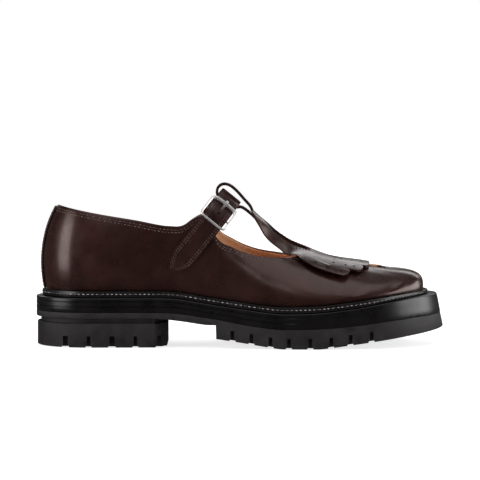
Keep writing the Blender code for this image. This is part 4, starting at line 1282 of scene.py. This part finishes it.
def makeUpper(leather, lining, thread, innerThread):
    columns, normals = dressedColumns(upper["steps"], upper["levels"])
    shell = addShell("upperLeather", columns, normals, 0.0, upper["leather"], leather)
    dress(shell, "burgundy_leather", "upper")
    coarse, coarseNormals = columns[::2], normals[::2]
    thin = [column[1::2] for column in columns]
    thinNormals = [line[1::2] for line in normals]
    face = upper["leather"] + upper["liningGap"]
    inside = addShell("upperLining", thin, thinNormals, face, last["wall"], lining, upper["liningDrop"])
    dress(inside, "tan_lining")
    rows = []
    for distance in upper["stitchRows"]:
        rows.append([downFrom(c, n, distance) for c, n in zip(columns, normals)])
    seams = addStitches("toplineStitches", rows, upper["stitchPitch"], thread, closed=True)
    dress(seams, "burgundy_leather")
    inner = []
    for c, n in zip(coarse, coarseNormals):
        spot, normal = downFrom(c, n, upper["stitchRows"][0] + upper["innerShift"])
        inner.append((spot - normal * (last["wall"] - upper["liningGap"]), -normal))
    lines = addStitches("liningStitches", [inner], upper["stitchPitch"], innerThread, closed=True)
    dress(lines, "tan_lining")
    print("upper:", len(columns), "columns")
    return columns


def gridRow(grid, across, k):
    return grid[k * across:(k + 1) * across]


def walkIn(row, distance, fromEnd=False):
    # Place in a row of points at a distance from one of its ends, as an index and a share.
    order = list(range(len(row)))
    if fromEnd:
        order.reverse()
    left = distance
    for a, b in zip(order, order[1:]):
        step = (row[b] - row[a]).length
        if left <= step:
            return a, b, left / step
        left -= step
    return order[-2], order[-1], 1.0


def seamLine(inner, outer, across, rows, distance, fromEnd=False):
    # A line on a sheet's outer face at a distance from its side, with the normals.
    found = []
    for k in rows:
        top, low = gridRow(outer, across, k), gridRow(inner, across, k)
        a, b, t = walkIn(top, distance, fromEnd)
        spot = top[a].lerp(top[b], t)
        found.append((spot, (spot - low[a].lerp(low[b], t)).normalized()))
    return found


# Backstay: narrow strip sewn over the back seam.
backstay = {
    "width": 9.0,
    "thickness": 1.2,
}
strip = {"across": 12, "levels": 60, "seamIn": 1.5, "seamPitch": 2.2, "round": 0.45, "crown": 0.18}


def makeStrip(tree, leather, thread):
    inner, outer = [], []
    across, levels = strip["across"], strip["levels"]
    bottom = sole["seatHeight"] + 2 * last["gap"]
    top = sole["seatHeight"] + last["collarHeight"] - 1.0
    for j in range(levels):
        z = bottom + (top - bottom) * j / (levels - 1)
        for k in range(across + 1):
            share = 2 * k / across - 1
            y = axisY + backstay["width"] * share / 2
            hit, normal, _, _ = tree.ray_cast(Vector((heelX - last["length"], y, z)), Vector((1, 0, 0)))
            if normal.x > 0:
                normal = -normal
            full = 1 - strip["crown"] * share * share
            inner.append(hit + normal * 0.05)
            outer.append(hit + normal * (last["gap"] + backstay["thickness"] * full))
    obj = addSheet("heelStrip", inner, outer, across + 1, levels, leather)
    soften(obj, strip["round"])
    dress(obj, "burgundy_leather", "heel_strip")
    lines = []
    for fromEnd in (False, True):
        lines.append(seamLine(inner, outer, across + 1, range(1, levels), strip["seamIn"], fromEnd))
    dress(addStitches("heelStripStitches", lines, strip["seamPitch"], thread), "burgundy_leather")
    print("heel strip done")


# Sole unit: stitched welt, moulded midsole with two ribs, and the lugged outsole and heel.
unit = {
    "shares": 96,
    "weltDish": 0.35,
    "weltRim": 1.1,
    "seamDown": 1.9,
    "seamPitch": 3.1,
    "softEdge": 0.4,
    "bandLevel": 0.55,
    "heelNotchWidths": (3.4, 2.4, 3.4, 2.4, 2.4),
}


def weltInset(p):
    return -sole["weltHeelInset"] * (1 - smoothstep(0.01, 0.14, p))


def soleSide(level, inset=0.0, rib=0.0):
    # How far a layer of the sole stands out from the welt's edge, by place.
    def offset(p):
        depth = rib * (1 - smoothstep(0.60, 0.70, p))
        return sole["bandFlare"] + ledge(p) + slant(p) * level - inset - depth
    return offset


def midHeight(fraction):
    # Height at a fraction of the midsole's thickness.
    def height(x):
        bottom = bandZ(x) + last["gap"]
        top = seatZ(x) - weltThickness(x) - last["gap"]
        return bottom + (top - bottom) * fraction
    return height


def edgeLine(offset, height, shares):
    # A line round the sole, from the medial toe by the heel to the lateral toe.
    sides, normals = outlinePoints(shares)
    found = []
    count = len(shares)
    for side, order in (("medial", range(count - 1, -1, -1)), ("lateral", range(1, count))):
        for k in order:
            spot = sides[side][k] + normals[side][k] * offset(shares[k])
            out = normals[side][k]
            found.append((Vector((spot.x, spot.y, height(spot.x))), Vector((out.x, out.y, 0.0))))
    return found


def makeWelt(slot, rubber, thread, shares):
    edge, rim, dish = sole["edgeRound"], unit["weltRim"], unit["weltDish"]
    steps = (
        (-edge, 0.0, False), (-0.25, 0.25, False), (0.0, edge, False),
        (0.0, -edge, True), (-0.2, -0.22, True), (-edge, 0.0, True),
        (-edge - rim, -0.05, True), (-edge - rim - 0.4, -dish, True),
    )
    rows = []
    for shift, lift, atTop in steps:
        def offset(p, shift=shift):
            return weltInset(p) + shift

        def height(x, lift=lift, atTop=atTop):
            return seatZ(x) + lift - (0.0 if atTop else weltThickness(x))
        rows.append((offset, height))
    welt = addSlab("weltStrip", rows, shares, rubber)
    holeRows = (
        (lambda p: -sole["weltHole"], lambda x: seatZ(x) - 2 * sole["weltThickness"]),
        (lambda p: -sole["weltHole"], lambda x: seatZ(x) + sole["weltThickness"]),
    )
    hole = addSlab("weltHole", holeRows, places(30, 0.05, 0.82), None)
    addCut(welt, slot)
    addCut(welt, hole)
    bake(welt, hole)
    soften(welt, 0.25)
    dress(welt, "black_welt", "welt")

    def seamHeight(x):
        return seatZ(x) - min(unit["seamDown"], weltThickness(x) / 2)
    line = edgeLine(weltInset, seamHeight, places(120, 0.0, 0.985))
    dress(addStitches("weltStitches", [line], unit["seamPitch"], thread, 0.7, 0.24, 0.4), "black_welt")
    print("welt done")


def makeMidsole(slot, rubber, shares):
    thickness = sole["seatHeight"] * (1 - soleHeights[0][2]) - sole["weltThickness"]
    half = sole["ribWidth"] * 0.35 / thickness
    band, rib = unit["bandLevel"], sole["ribDepth"] * 0.6
    profile = ((-half, 0.0), (-half * 0.35, rib), (half * 0.35, rib), (half, 0.0))
    rows = [(soleSide(band, 0.12), midHeight(0.0)), (soleSide(band), midHeight(0.03))]
    for place in sole["ribs"]:
        for shift, depth in profile:
            at = place + shift
            rows.append((soleSide(band * (1 - at), 0.0, depth), midHeight(at)))
    edge = sole["edgeRound"]
    rows.append((soleSide(0.0), midHeight(1 - edge / thickness)))
    for angle in (25, 45, 65, 90):
        turn = math.radians(angle)
        inset = edge * (1 - math.cos(turn))
        rows.append((soleSide(0.0, inset), midHeight(1 - edge / thickness * (1 - math.sin(turn)))))
    midsole = addSlab("midsoleLayer", rows, shares, rubber)
    addCut(midsole, slot)
    bake(midsole)
    soften(midsole, 0.3)
    dress(midsole, "black_rubber", "midsole")
    print("midsole done")


def makeOutsole(slot, rubber):
    step = 0.0006
    shares = places(unit["shares"], extra=(treadStep - step, treadStep + step, flatStart, flatEnd))
    edge = sole["edgeRound"]
    rows = (
        (soleSide(1.0, edge), treadZ),
        (soleSide(1.0, edge * 0.3), lambda x: treadZ(x) + edge * 0.3),
        (soleSide(1.0), lambda x: treadZ(x) + edge),
        (soleSide(unit["bandLevel"]), lambda x: bandZ(x) - 0.4),
        (soleSide(unit["bandLevel"], 0.15), bandZ),
    )
    outsole = addSlab("outsoleTread", rows, shares, rubber)
    spots = []
    for place in foreNotches:
        for name in ("lateral", "medial"):
            x = soleBack + place * weltLength
            spots.append((x, axisY + weltSide(place, name), treadZ(x)))
    notches = notchCutter("foreNotches", spots, tread["notchHeight"])
    addCut(outsole, slot)
    addCut(outsole, notches)
    bake(outsole, notches)
    soften(outsole, unit["softEdge"])
    dress(outsole, "black_rubber", "outsole")
    print("outsole done")


def makeHeel(rubber):
    breastEnd = sole["breastPlace"] + sole["breastChamfer"] / weltLength
    shares = places(60, 0.0, sole["breastPlace"], extra=(breastEnd,))

    def narrowing(place):
        return 1 - 0.45 * max(0.0, (place - sole["breastPlace"]) / (breastEnd - sole["breastPlace"]))

    inset, neck, edge = -sole["heelSet"], sole["heelNeckInset"], sole["edgeRound"]
    top = sole["heelBlockHeight"]
    rows = (
        (lambda p: inset - edge, lambda x: 0.0),
        (lambda p: inset - edge * 0.3, lambda x: edge * 0.3),
        (lambda p: inset, lambda x: edge),
        (lambda p: inset, lambda x: top - 0.5),
        (lambda p: inset - 0.4, lambda x: top),
        (lambda p: inset - neck, lambda x: top + last["gap"]),
        (lambda p: inset - neck, lambda x: treadZ(x) - 0.05),
    )
    heel = addSlab("heelLift", rows, shares, rubber, narrowing)
    cutters = []
    for k, width in enumerate(unit["heelNotchWidths"]):
        place = tread["heelNotchFirst"] + k * tread["heelNotchPitch"] / weltLength
        spots = []
        for name in ("lateral", "medial"):
            spots.append((soleBack + place * weltLength, axisY + weltSide(place, name), 0.0))
        mouth = width + tread["heelNotchFlare"]
        cutter = notchCutter("heelNotch%d" % k, spots, tread["heelNotchHeight"], width, mouth)
        addCut(heel, cutter)
        cutters.append(cutter)
    bake(heel, *cutters)
    soften(heel, unit["softEdge"])
    dress(heel, "black_rubber", "heel_block")
    print("heel done")


# Cross strap: two layers of leather with painted edges, seams near each edge and two spare holes.
crossStrap = {
    "count": 180,
    "across": 14,
    "crown": 0.25,
    "worn": 0.2,
    "round": 0.4,
    "seams": (1.3, 2.7),
    "pitch": 2.0,
    "spareHoles": (0.4, 6.0),
}


def prongRest():
    # Where the prong lies on the front wire, along the strap from the centre bar.
    return -(buckle["length"] - buckle["wire"]) / 2 - buckle["frontBow"]


def makeStrap(tree, leather, thread, punched):
    path, lengths = strapPath()
    width = strapFrame()[2]
    middle = buckleLength()
    total = lengths[-1] - lengths[0]
    count, across = crossStrap["count"], crossStrap["across"]
    inner, outer = [], []
    for k in range(count + 1):
        at = lengths[0] + total * k / count
        spot, _, normal = strapAt(path, lengths, at)
        half = tailHalfWidth(lengths[-1] - at)
        for m in range(across + 1):
            share = 2 * m / across - 1
            low = spot + width * half * share
            low += normal * (weave(at - middle) - strap["thickness"] / 2)
            side = 1 if at < 0 else -1
            ray = Vector((low.x, side * sole["width"], low.z))
            hit, _, _, _ = tree.ray_cast(ray, Vector((0, -side, 0)))
            if hit and hit.y * side > 0:
                reach = buckle["length"] / 2
                settled = smoothstep(reach, reach + strap["settle"], abs(at) - middle)
                onUpper = hit.y * side + last["gap"]
                low.y = side * max(low.y * side * (1 - settled) + onUpper * settled, onUpper)
            inner.append(low)
            crown = crossStrap["crown"] * (1 - share**4)
            outer.append(low + normal * (strap["thickness"] - crossStrap["worn"] + crown))
    obj = addSheet("instepStrap", inner, outer, across + 1, count + 1, leather)
    addProngSlot("strapHole", obj, prongRest() * 0.34, prongRest() * 0.88)
    bake(obj, bpy.data.objects["strapHole"])
    soften(obj, crossStrap["round"])
    dress(obj, "burgundy_leather", "instep_strap")
    lines = []
    rows = range(2, count - 1)
    for distance in crossStrap["seams"]:
        for fromEnd in (False, True):
            lines.append(seamLine(inner, outer, across + 1, rows, distance, fromEnd))
    seams = addStitches("strapStitches", lines, crossStrap["pitch"], thread, radius=fringe["thread"])
    dress(seams, "burgundy_leather")
    holes = []
    for distance in crossStrap["spareHoles"]:
        k = round((middle + distance - lengths[0]) / total * count)
        row, low = gridRow(outer, across + 1, k), gridRow(inner, across + 1, k)
        spot = row[across // 2]
        holes.append((spot, (spot - low[across // 2]).normalized()))
    dress(addHoles("strapHoles", holes, fringe["holeRadius"], punched), "burgundy_leather")
    print("cross strap done")


def fineBuckleFrame(material):
    spot, along, width, normal = buckleFrameAxes()
    halfW = (buckle["width"] - buckle["wire"]) / 2
    halfL = (buckle["length"] - buckle["wire"]) / 2
    corner = buckle["corner"]
    path = []
    steps = 10
    for across, length, start in ((1, -1, -90), (1, 1, 0), (-1, 1, 90), (-1, -1, 180)):
        for k in range(steps + 1):
            angle = math.radians(start + 90 * k / steps)
            w = across * (halfW - corner) + corner * math.cos(angle)
            path.append((w, length * (halfL - corner) + corner * math.sin(angle)))
        if across == length == -1:
            path += [(halfW * t / 10, -halfL) for t in range(-6, 7)]
        elif across == length == 1:
            path += [(halfW * -t / 10, halfL) for t in range(-6, 7)]
    points, radii = [], []
    for w, s in path:
        front = smoothstep(0.3, 1.0, -s / halfL)
        bow = buckle["frontBow"] * front * (1 - (w / halfW) ** 2)
        points.append(spot + width * w + along * (s - bow) + normal * buckle["lift"])
        radii.append((buckle["wire"] + (buckle["frontWire"] - buckle["wire"]) * front) / 2)
    frameObj = addTube("buckleFrame", points, radii, 20, material, True, normal)
    bar = []
    low, lift = -buckle["barDrop"], buckle["lift"]
    for w, n in ((-1.0, lift), (-0.97, 0.0), (-0.9, low), (0.9, low), (0.97, 0.0), (1.0, lift)):
        bar.append(spot + width * halfW * w + normal * n)
    bar = smoothPath(bar, 4)
    centre = addTube("buckleBar", bar, [buckle["barWire"] / 2] * len(bar), 12, material, False, along)
    dress(frameObj, "polished_steel", "buckle_frame")
    dress(centre, "polished_steel")


def fineProng(material):
    bar = (0.0, -buckle["barDrop"])
    radius = buckle["barWire"] / 2 + last["gap"] + buckle["prongThickness"] / 2
    rest = prongRest()
    over = buckle["lift"] + buckle["frontWire"] / 2 + last["gap"] + buckle["prongThickness"] / 2
    path = arcPath(radius, -15, -140, 16, bar)
    turn = [path[-1], (rest * 0.5, -1.6), (rest * 0.66, -0.5)]
    turn += [(rest * 0.77, over * 0.5), (rest * 0.9, over), (rest - 1.0, over)]
    smooth = smoothPath([Vector(p) for p in turn], 6)
    path = path + [(p.x, p.y) for p in smooth[1:]]
    prong = addStrip("buckleProng", path, buckle["prongThickness"], buckle["prongWidth"], material)
    soften(prong, 0.35, 3, 30)
    dress(prong, "polished_steel", "buckle_prong")
    print("buckle done")


# T-strap and fringe: one sheet cut from leather, with a folded loop at its top.
# The loop round the cross strap, seen from the side: shares of strap["width"] across the strap,
# to the front, and away from the foot, from the middle of the strap's top face.
loopPath = (
    # across, out
    (0.688, -0.143),
    (0.474, -0.299),
    (0.279, -0.377),
    (-0.052, -0.455),
    (-0.357, -0.461),
    (-0.578, -0.338),
    (-0.688, -0.123),
    (-0.612, 0.125),
    (-0.335, 0.268),
    (0.078, 0.264),
    (0.545, 0.186),
    (0.893, 0.130),
)

fringe = {
    "across": 9,
    "slotRows": 30,
    "bridgeRows": 16,
    "tipRows": 14,
    "loopSteps": 5,
    "smoothing": 36,
    "bridgeInset": 0.93,
    "slotPoint": 0.1,
    "slotFull": 0.75,
    "bow": 0.9,
    "tipLean": 1.2,
    "round": 0.35,
    "seamIn": 1.5,
    "seamPitch": 2.1,
    "thread": 0.2,
    "slotSeams": (1.3, 2.9),
    "holePitch": 6.6,
    "holeFirst": 5.6,
    "holeRadius": 0.85,
}


def slotEnds():
    # Where the slot of the T-strap starts and ends, and its half width.
    return lastX(kiltie["teardropStart"]), lastX(kiltie["teardropEnd"]), kiltie["teardropWidth"] / 2


def slotShare(t):
    # Half width of the slot as a share of its widest, from its point at 0 to its round end at 1.
    point = fringe["slotPoint"]
    return point + (1 - point) * math.sin(math.pi / 2 * min(1.0, t / fringe["slotFull"]))


def finePattern(half, slot, spread):
    # Places across the T-strap, which spread from two legs round a slot into the fingers.
    count, per = kiltie["fingerCount"], fringe["across"]
    arm = per * ((count - 1) // 2)
    side = [-half + (half - slot) * k / (arm - 1) for k in range(arm)]
    inner = per * count - 2 * arm
    bridge = [slot * fringe["bridgeInset"] * (2 * k / (inner - 1) - 1) for k in range(inner)]
    plain = side + bridge + [-v for v in reversed(side)]
    fingers = []
    for k in range(count):
        low = half * (2 * k / count - 1) + (kiltie["fingerGap"] / 2 if k else 0.0)
        high = half * (2 * (k + 1) / count - 1) - (kiltie["fingerGap"] / 2 if k < count - 1 else 0.0)
        fingers += [low + (high - low) * i / (per - 1) for i in range(per)]
    return [a + (b - a) * spread for a, b in zip(plain, fingers)]


def fineKiltieRows():
    # Rows of places down the T-strap, each with what is cut out of it.
    start, end, slotHalf = slotEnds()
    fringeStart, tip = lastX(kiltie["fingerStart"]), lastX(kiltie["fingerEnd"])
    count, per = kiltie["fingerCount"], fringe["across"]

    def halfWidth(x):
        return kiltie["width"] * through(kiltieSections, 2, shareOf(x))

    def slotWidth(x):
        return slotHalf * slotShare(min(max((x - start) / (end - start), 0.0), 1.0))

    rows = []
    slotRows, bridgeRows, bridge = fringe["slotRows"], fringe["bridgeRows"], fringeStart - end
    xs = [start - 3.0] + [start + (end - start) * k / slotRows for k in range(slotRows + 1)]
    xs += [end + bridge * (k + 1) / bridgeRows for k in range(bridgeRows)]
    for x in xs:
        bow = fringe["bow"] if x >= end else 0.0
        pushed = slotHalf * bow * (1 - smoothstep(end, end + 0.7 * bridge, x))
        pattern = finePattern(halfWidth(x), slotWidth(x), smoothstep(end, fringeStart, x))
        ahead = [x + pushed * math.sqrt(max(0.0, 1 - (v / slotHalf) ** 2)) for v in pattern]
        rows.append([ahead, pattern, "slot" if start <= x < end - 1e-6 else "whole"])
    rows[-1][2] = "fingers"
    for step in range(1, fringe["tipRows"] + 1):
        t = step / fringe["tipRows"]
        half = halfWidth(fringeStart + (tip - kiltie["fingerSweep"] * 0.4 - fringeStart) * t)
        pattern = finePattern(half, slotHalf, 1.0)
        ahead = []
        for k in range(len(pattern)):
            inFinger = 2 * (k % per) / (per - 1) - 1
            share = 2 * (k // per) / (count - 1) - 1
            reach = tip - kiltie["fingerSweep"] * share * share
            reach -= kiltie["fingerChamfer"] * 1.5 * abs(inFinger) ** 3.5
            reach -= fringe["tipLean"] * share * inFinger
            ahead.append(fringeStart + (reach - fringeStart) * t)
        rows.append([ahead, pattern, "fingers"])
    return rows


def makeKiltie(tree, leather, thread, punched):
    apex, along, width = strapFrame()
    out = -along
    top = apex + out * strap["thickness"] / 2
    count, per = kiltie["fingerCount"], fringe["across"]
    columns = per * count
    rows = fineKiltieRows()
    line = []
    for back in (0.0, kiltie["loopReach"]):
        spot, normal = kiltiePoint(rows[1][0][0] - back, 0.0)
        line.append(spot - normal * (1.5 * kiltie["thickness"] + last["gap"]))
    for across, away in loopPath:
        line.append(top + width * across * strap["width"] + out * away * strap["width"])
    spot, normal = kiltiePoint(rows[0][0][0], 0.0)
    line.append(spot - normal * kiltie["thickness"] / 2)
    line = smoothPath(line, fringe["loopSteps"])
    inner, outer = [], []
    loopPattern = finePattern(kiltie["loopWidth"] / 2, kiltie["teardropWidth"] / 20, 0.0)
    for k, spot in enumerate(line[:-1]):
        along = line[k + 1] - line[max(k - 1, 0)]
        side = Vector((-along.z, 0, along.x)).normalized() * kiltie["thickness"] / 2
        for v in loopPattern:
            inner.append(spot - side + Vector((0, v, 0)))
            outer.append(spot + side + Vector((0, v, 0)))
    loopRows = len(line) - 1
    tops, lows, rises = [], [], []
    for xs, pattern, kind in rows:
        pairs = [kiltiePoint(x, v) for x, v in zip(xs, pattern)]
        tops.append([spot for spot, _ in pairs])
        lows.append([spot - normal * kiltie["thickness"] for spot, normal in pairs])
        rises.append([clearance(tree, low, v) for low, v in zip(lows[-1], pattern)])
    for _ in range(fringe["smoothing"]):
        before = [list(row) for row in rises]
        for j in range(1, len(rows)):
            for k in range(columns):
                near = [before[j - 1][k], before[min(j + 1, len(rows) - 1)][k]]
                near += [before[j][max(k - 1, 0)], before[j][min(k + 1, columns - 1)]]
                rises[j][k] = max(before[j][k], sum(near) / 4)
    openings = set()
    arm = per * ((count - 1) // 2)
    for j, (_, _, kind) in enumerate(rows):
        for k in range(columns):
            up = Vector((0, 0, rises[j][k]))
            inner.append(lows[j][k] + up)
            outer.append(tops[j][k] + up)
        if kind == "slot":
            openings.update((loopRows + j, k) for k in range(arm - 1, columns - arm))
        if kind == "fingers":
            openings.update((loopRows + j, k) for k in range(per - 1, columns - 1, per))
    total = loopRows + len(rows)
    obj = addSheet("kiltieStrap", inner, outer, columns, total, leather, openings)
    soften(obj, fringe["round"])
    dress(obj, "burgundy_leather", "kiltie_strap")

    def onSheet(x, v):
        # Top face and normal of the sheet near a place, from the closest of its own points.
        best = None
        for j, (xs, pattern, _) in enumerate(rows):
            for k in range(columns):
                gap = (xs[k] - x) ** 2 + (pattern[k] - v) ** 2
                if best is None or gap < best[0]:
                    best = (gap, j, k)
        spot, normal = kiltiePoint(x, v)
        return spot + Vector((0, 0, rises[best[1]][best[2]])), normal

    lines = []
    edgeRows = range(loopRows + 1, total - 1)
    for fromEnd in (False, True):
        lines.append(seamLine(inner, outer, columns, edgeRows, fringe["seamIn"], fromEnd))
    start, end, slotHalf = slotEnds()
    steps, turns = 16, 12
    for away in fringe["slotSeams"]:
        leg = []
        for k in range(steps // 2, steps + 1):
            leg.append((start + (end - start) * k / steps, slotHalf * slotShare(k / steps) + away))
        bend = [(x, -v) for x, v in leg]
        for k in range(1, turns):
            angle = math.pi * k / turns
            x = end + (slotHalf * fringe["bow"] + away) * math.sin(angle)
            bend.append((x, -(slotHalf + away) * math.cos(angle)))
        bend += leg[::-1]
        lines.append([onSheet(x, v) for x, v in bend])
    seams = addStitches("kiltieStitches", lines, fringe["seamPitch"], thread, radius=fringe["thread"])
    dress(seams, "burgundy_leather")
    holes = []
    tips, pattern, _ = rows[-1]
    for finger in range(count):
        k = finger * per + per // 2
        for n in range(3):
            x = tips[k] - fringe["holeFirst"] - n * fringe["holePitch"]
            j = min(range(len(rows)), key=lambda r: abs(rows[r][0][k] - x))
            spot = outer[(loopRows + j) * columns + k]
            holes.append((spot, (spot - inner[(loopRows + j) * columns + k]).normalized()))
    dress(addHoles("kiltieHoles", holes, fringe["holeRadius"], punched), "burgundy_leather")
    print("fringe done")


# Stage: white sweep, tall soft boxes left and right, a broad one overhead, and a rim light behind.
studio = {
    "world": 0.045,
    "sweep": 0.8,
    "sweepGlow": 0.75,
    "reach": 5000.0,
    "under": -0.2,
    "lens": 244.4,
    "distance": 2.2,
    "elevation": 3.25,
    "aim": (0.0, 0.0, 0.0699),
    "lights": (
        # name, place, target, width, height, brightness
        ("overhead", (0.05, -0.15, 1.25), (0.05, 0.0, 0.05), 1.5, 1.3, 0.95),
        ("leftBox", (-1.35, -0.55, 0.40), (-0.08, 0.0, 0.06), 0.9, 1.1, 3.4),
        ("rightBox", (1.40, 0.05, 0.40), (0.1, 0.0, 0.05), 1.5, 0.9, 3.4),
        ("rim", (0.0, 1.3, 0.75), (0.0, 0.0, 0.06), 1.9, 0.5, 1.6),
        ("front", (-0.2, -1.7, 1.9), (0.0, 0.0, 0.05), 0.9, 0.7, 1.6),
    ),
}


def turnTo(obj, spot, target):
    # Puts a camera or a lamp in place, turned to its target.
    obj.location = spot
    obj.rotation_euler = (Vector(target) - Vector(spot)).to_track_quat("-Z", "Y").to_euler()


def addStageMaterial(name, glow, grey=None):
    # White that lights itself, with a grey under it that takes the shoe's shadow.
    material, tree, output = addMaterial(name)
    white = {"Color": (1.0, 1.0, 1.0, 1.0), "Strength": glow}
    surface = addNode(tree, "ShaderNodeEmission", white).outputs[0]
    if grey:
        matte = addNode(tree, "ShaderNodeBsdfDiffuse", {"Color": (grey, grey, grey, 1.0)}).outputs[0]
        surface = addNode(tree, "ShaderNodeAddShader", {0: matte, 1: surface}).outputs[0]
    tree.links.new(surface, output.inputs["Surface"])
    return material


def makeStage():
    aim = Vector(studio["aim"])
    tilt = math.radians(studio["elevation"])
    data = bpy.data.cameras.new("portrait")
    data.sensor_width = 36.0
    data.lens = studio["lens"]
    data.clip_end = 20.0
    camera = bpy.data.objects.new("portrait", data)
    bpy.context.collection.objects.link(camera)
    turnTo(camera, aim + Vector((0, -math.cos(tilt), math.sin(tilt))) * studio["distance"], aim)
    bpy.context.scene.camera = camera
    for name, spot, target, width, height, brightness in studio["lights"]:
        lamp = bpy.data.lights.new(name, "AREA")
        lamp.shape = "RECTANGLE"
        lamp.size, lamp.size_y = width, height
        lamp.energy = math.pi * width * height * brightness
        obj = bpy.data.objects.new(name, lamp)
        bpy.context.collection.objects.link(obj)
        turnTo(obj, spot, target)
    world = bpy.data.worlds.new("studio")
    world.use_nodes = True
    world.node_tree.nodes["Background"].inputs["Color"].default_value = (*[studio["world"]] * 3, 1.0)
    bpy.context.scene.world = world

    floorMaterial = addStageMaterial("whiteSweep", studio["sweepGlow"], studio["sweep"])
    backMaterial = addStageMaterial("whiteBackdrop", 1.0)
    reach, low = studio["reach"], studio["under"]
    corners = [(-reach, -reach, low), (reach, -reach, low), (reach, reach, low), (-reach, reach, low)]
    floor = addObject("floor", corners, [(0, 1, 2, 3)], floorMaterial)
    back = [(-reach, reach, low), (reach, reach, low), (reach, reach, reach), (-reach, reach, reach)]
    backdrop = addObject("backdrop", back, [(0, 1, 2, 3)], backMaterial)
    for obj in (floor, backdrop):
        obj.visible_glossy = False
    bpy.context.scene.view_settings.view_transform = "Standard"
    print("stage done")


def main():
    makeStage()
    leather = makeGlossLeather("box calf, resin finish", glossLeather)
    strapLeather = makeGlossLeather("strap leather, resin finish", waxedLeather)
    edge = makeEdgePaint("painted leather edge", edgePaint)
    lining = makeLining("pigskin lining", napLining)
    gloss = makeRubber("moulded midsole rubber", moulded)
    matte = makeRubber("tread rubber", treadRubber)
    weltMade = makeRubber("welt rubber", weltRubber)
    metal = makeSteel("nickel-plated steel", steel)
    dark = makeThread("dark waxed thread", darkThreadGlint)
    pale = makeThread("undyed thread", paleThreadGlint)
    soleMade = makeThread("sole thread", soleThreadGlint)
    punched = makePunched("punched hole", holeShadow)

    for name, finish in (("insole", lining), ("buckle_tab", edge)):
        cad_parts[name].material_slots[0].material = finish

    columns = makeUpper(leather, lining, dark, pale)
    tree = upperTree(columns[::2])
    makeStrip(tree, strapLeather, dark)
    shares = places(unit["shares"])
    slotRoot = heelX + last["length"] - cleft["soleLength"]
    low, high = -sole["heelBlockHeight"], sole["seatHeight"] + last["collarHeight"]
    slot = cleftCutter("toeSlot", cleft["soleGap"], slotRoot, low, high)
    makeWelt(slot, weltMade, soleMade, shares)
    makeMidsole(slot, gloss, shares)
    makeOutsole(slot, matte)
    bpy.data.objects.remove(slot, do_unlink=True)
    makeHeel(matte)
    makeStrap(tree, strapLeather, dark, punched)
    fineBuckleFrame(metal)
    fineProng(metal)
    makeKiltie(tree, strapLeather, dark, punched)


main()
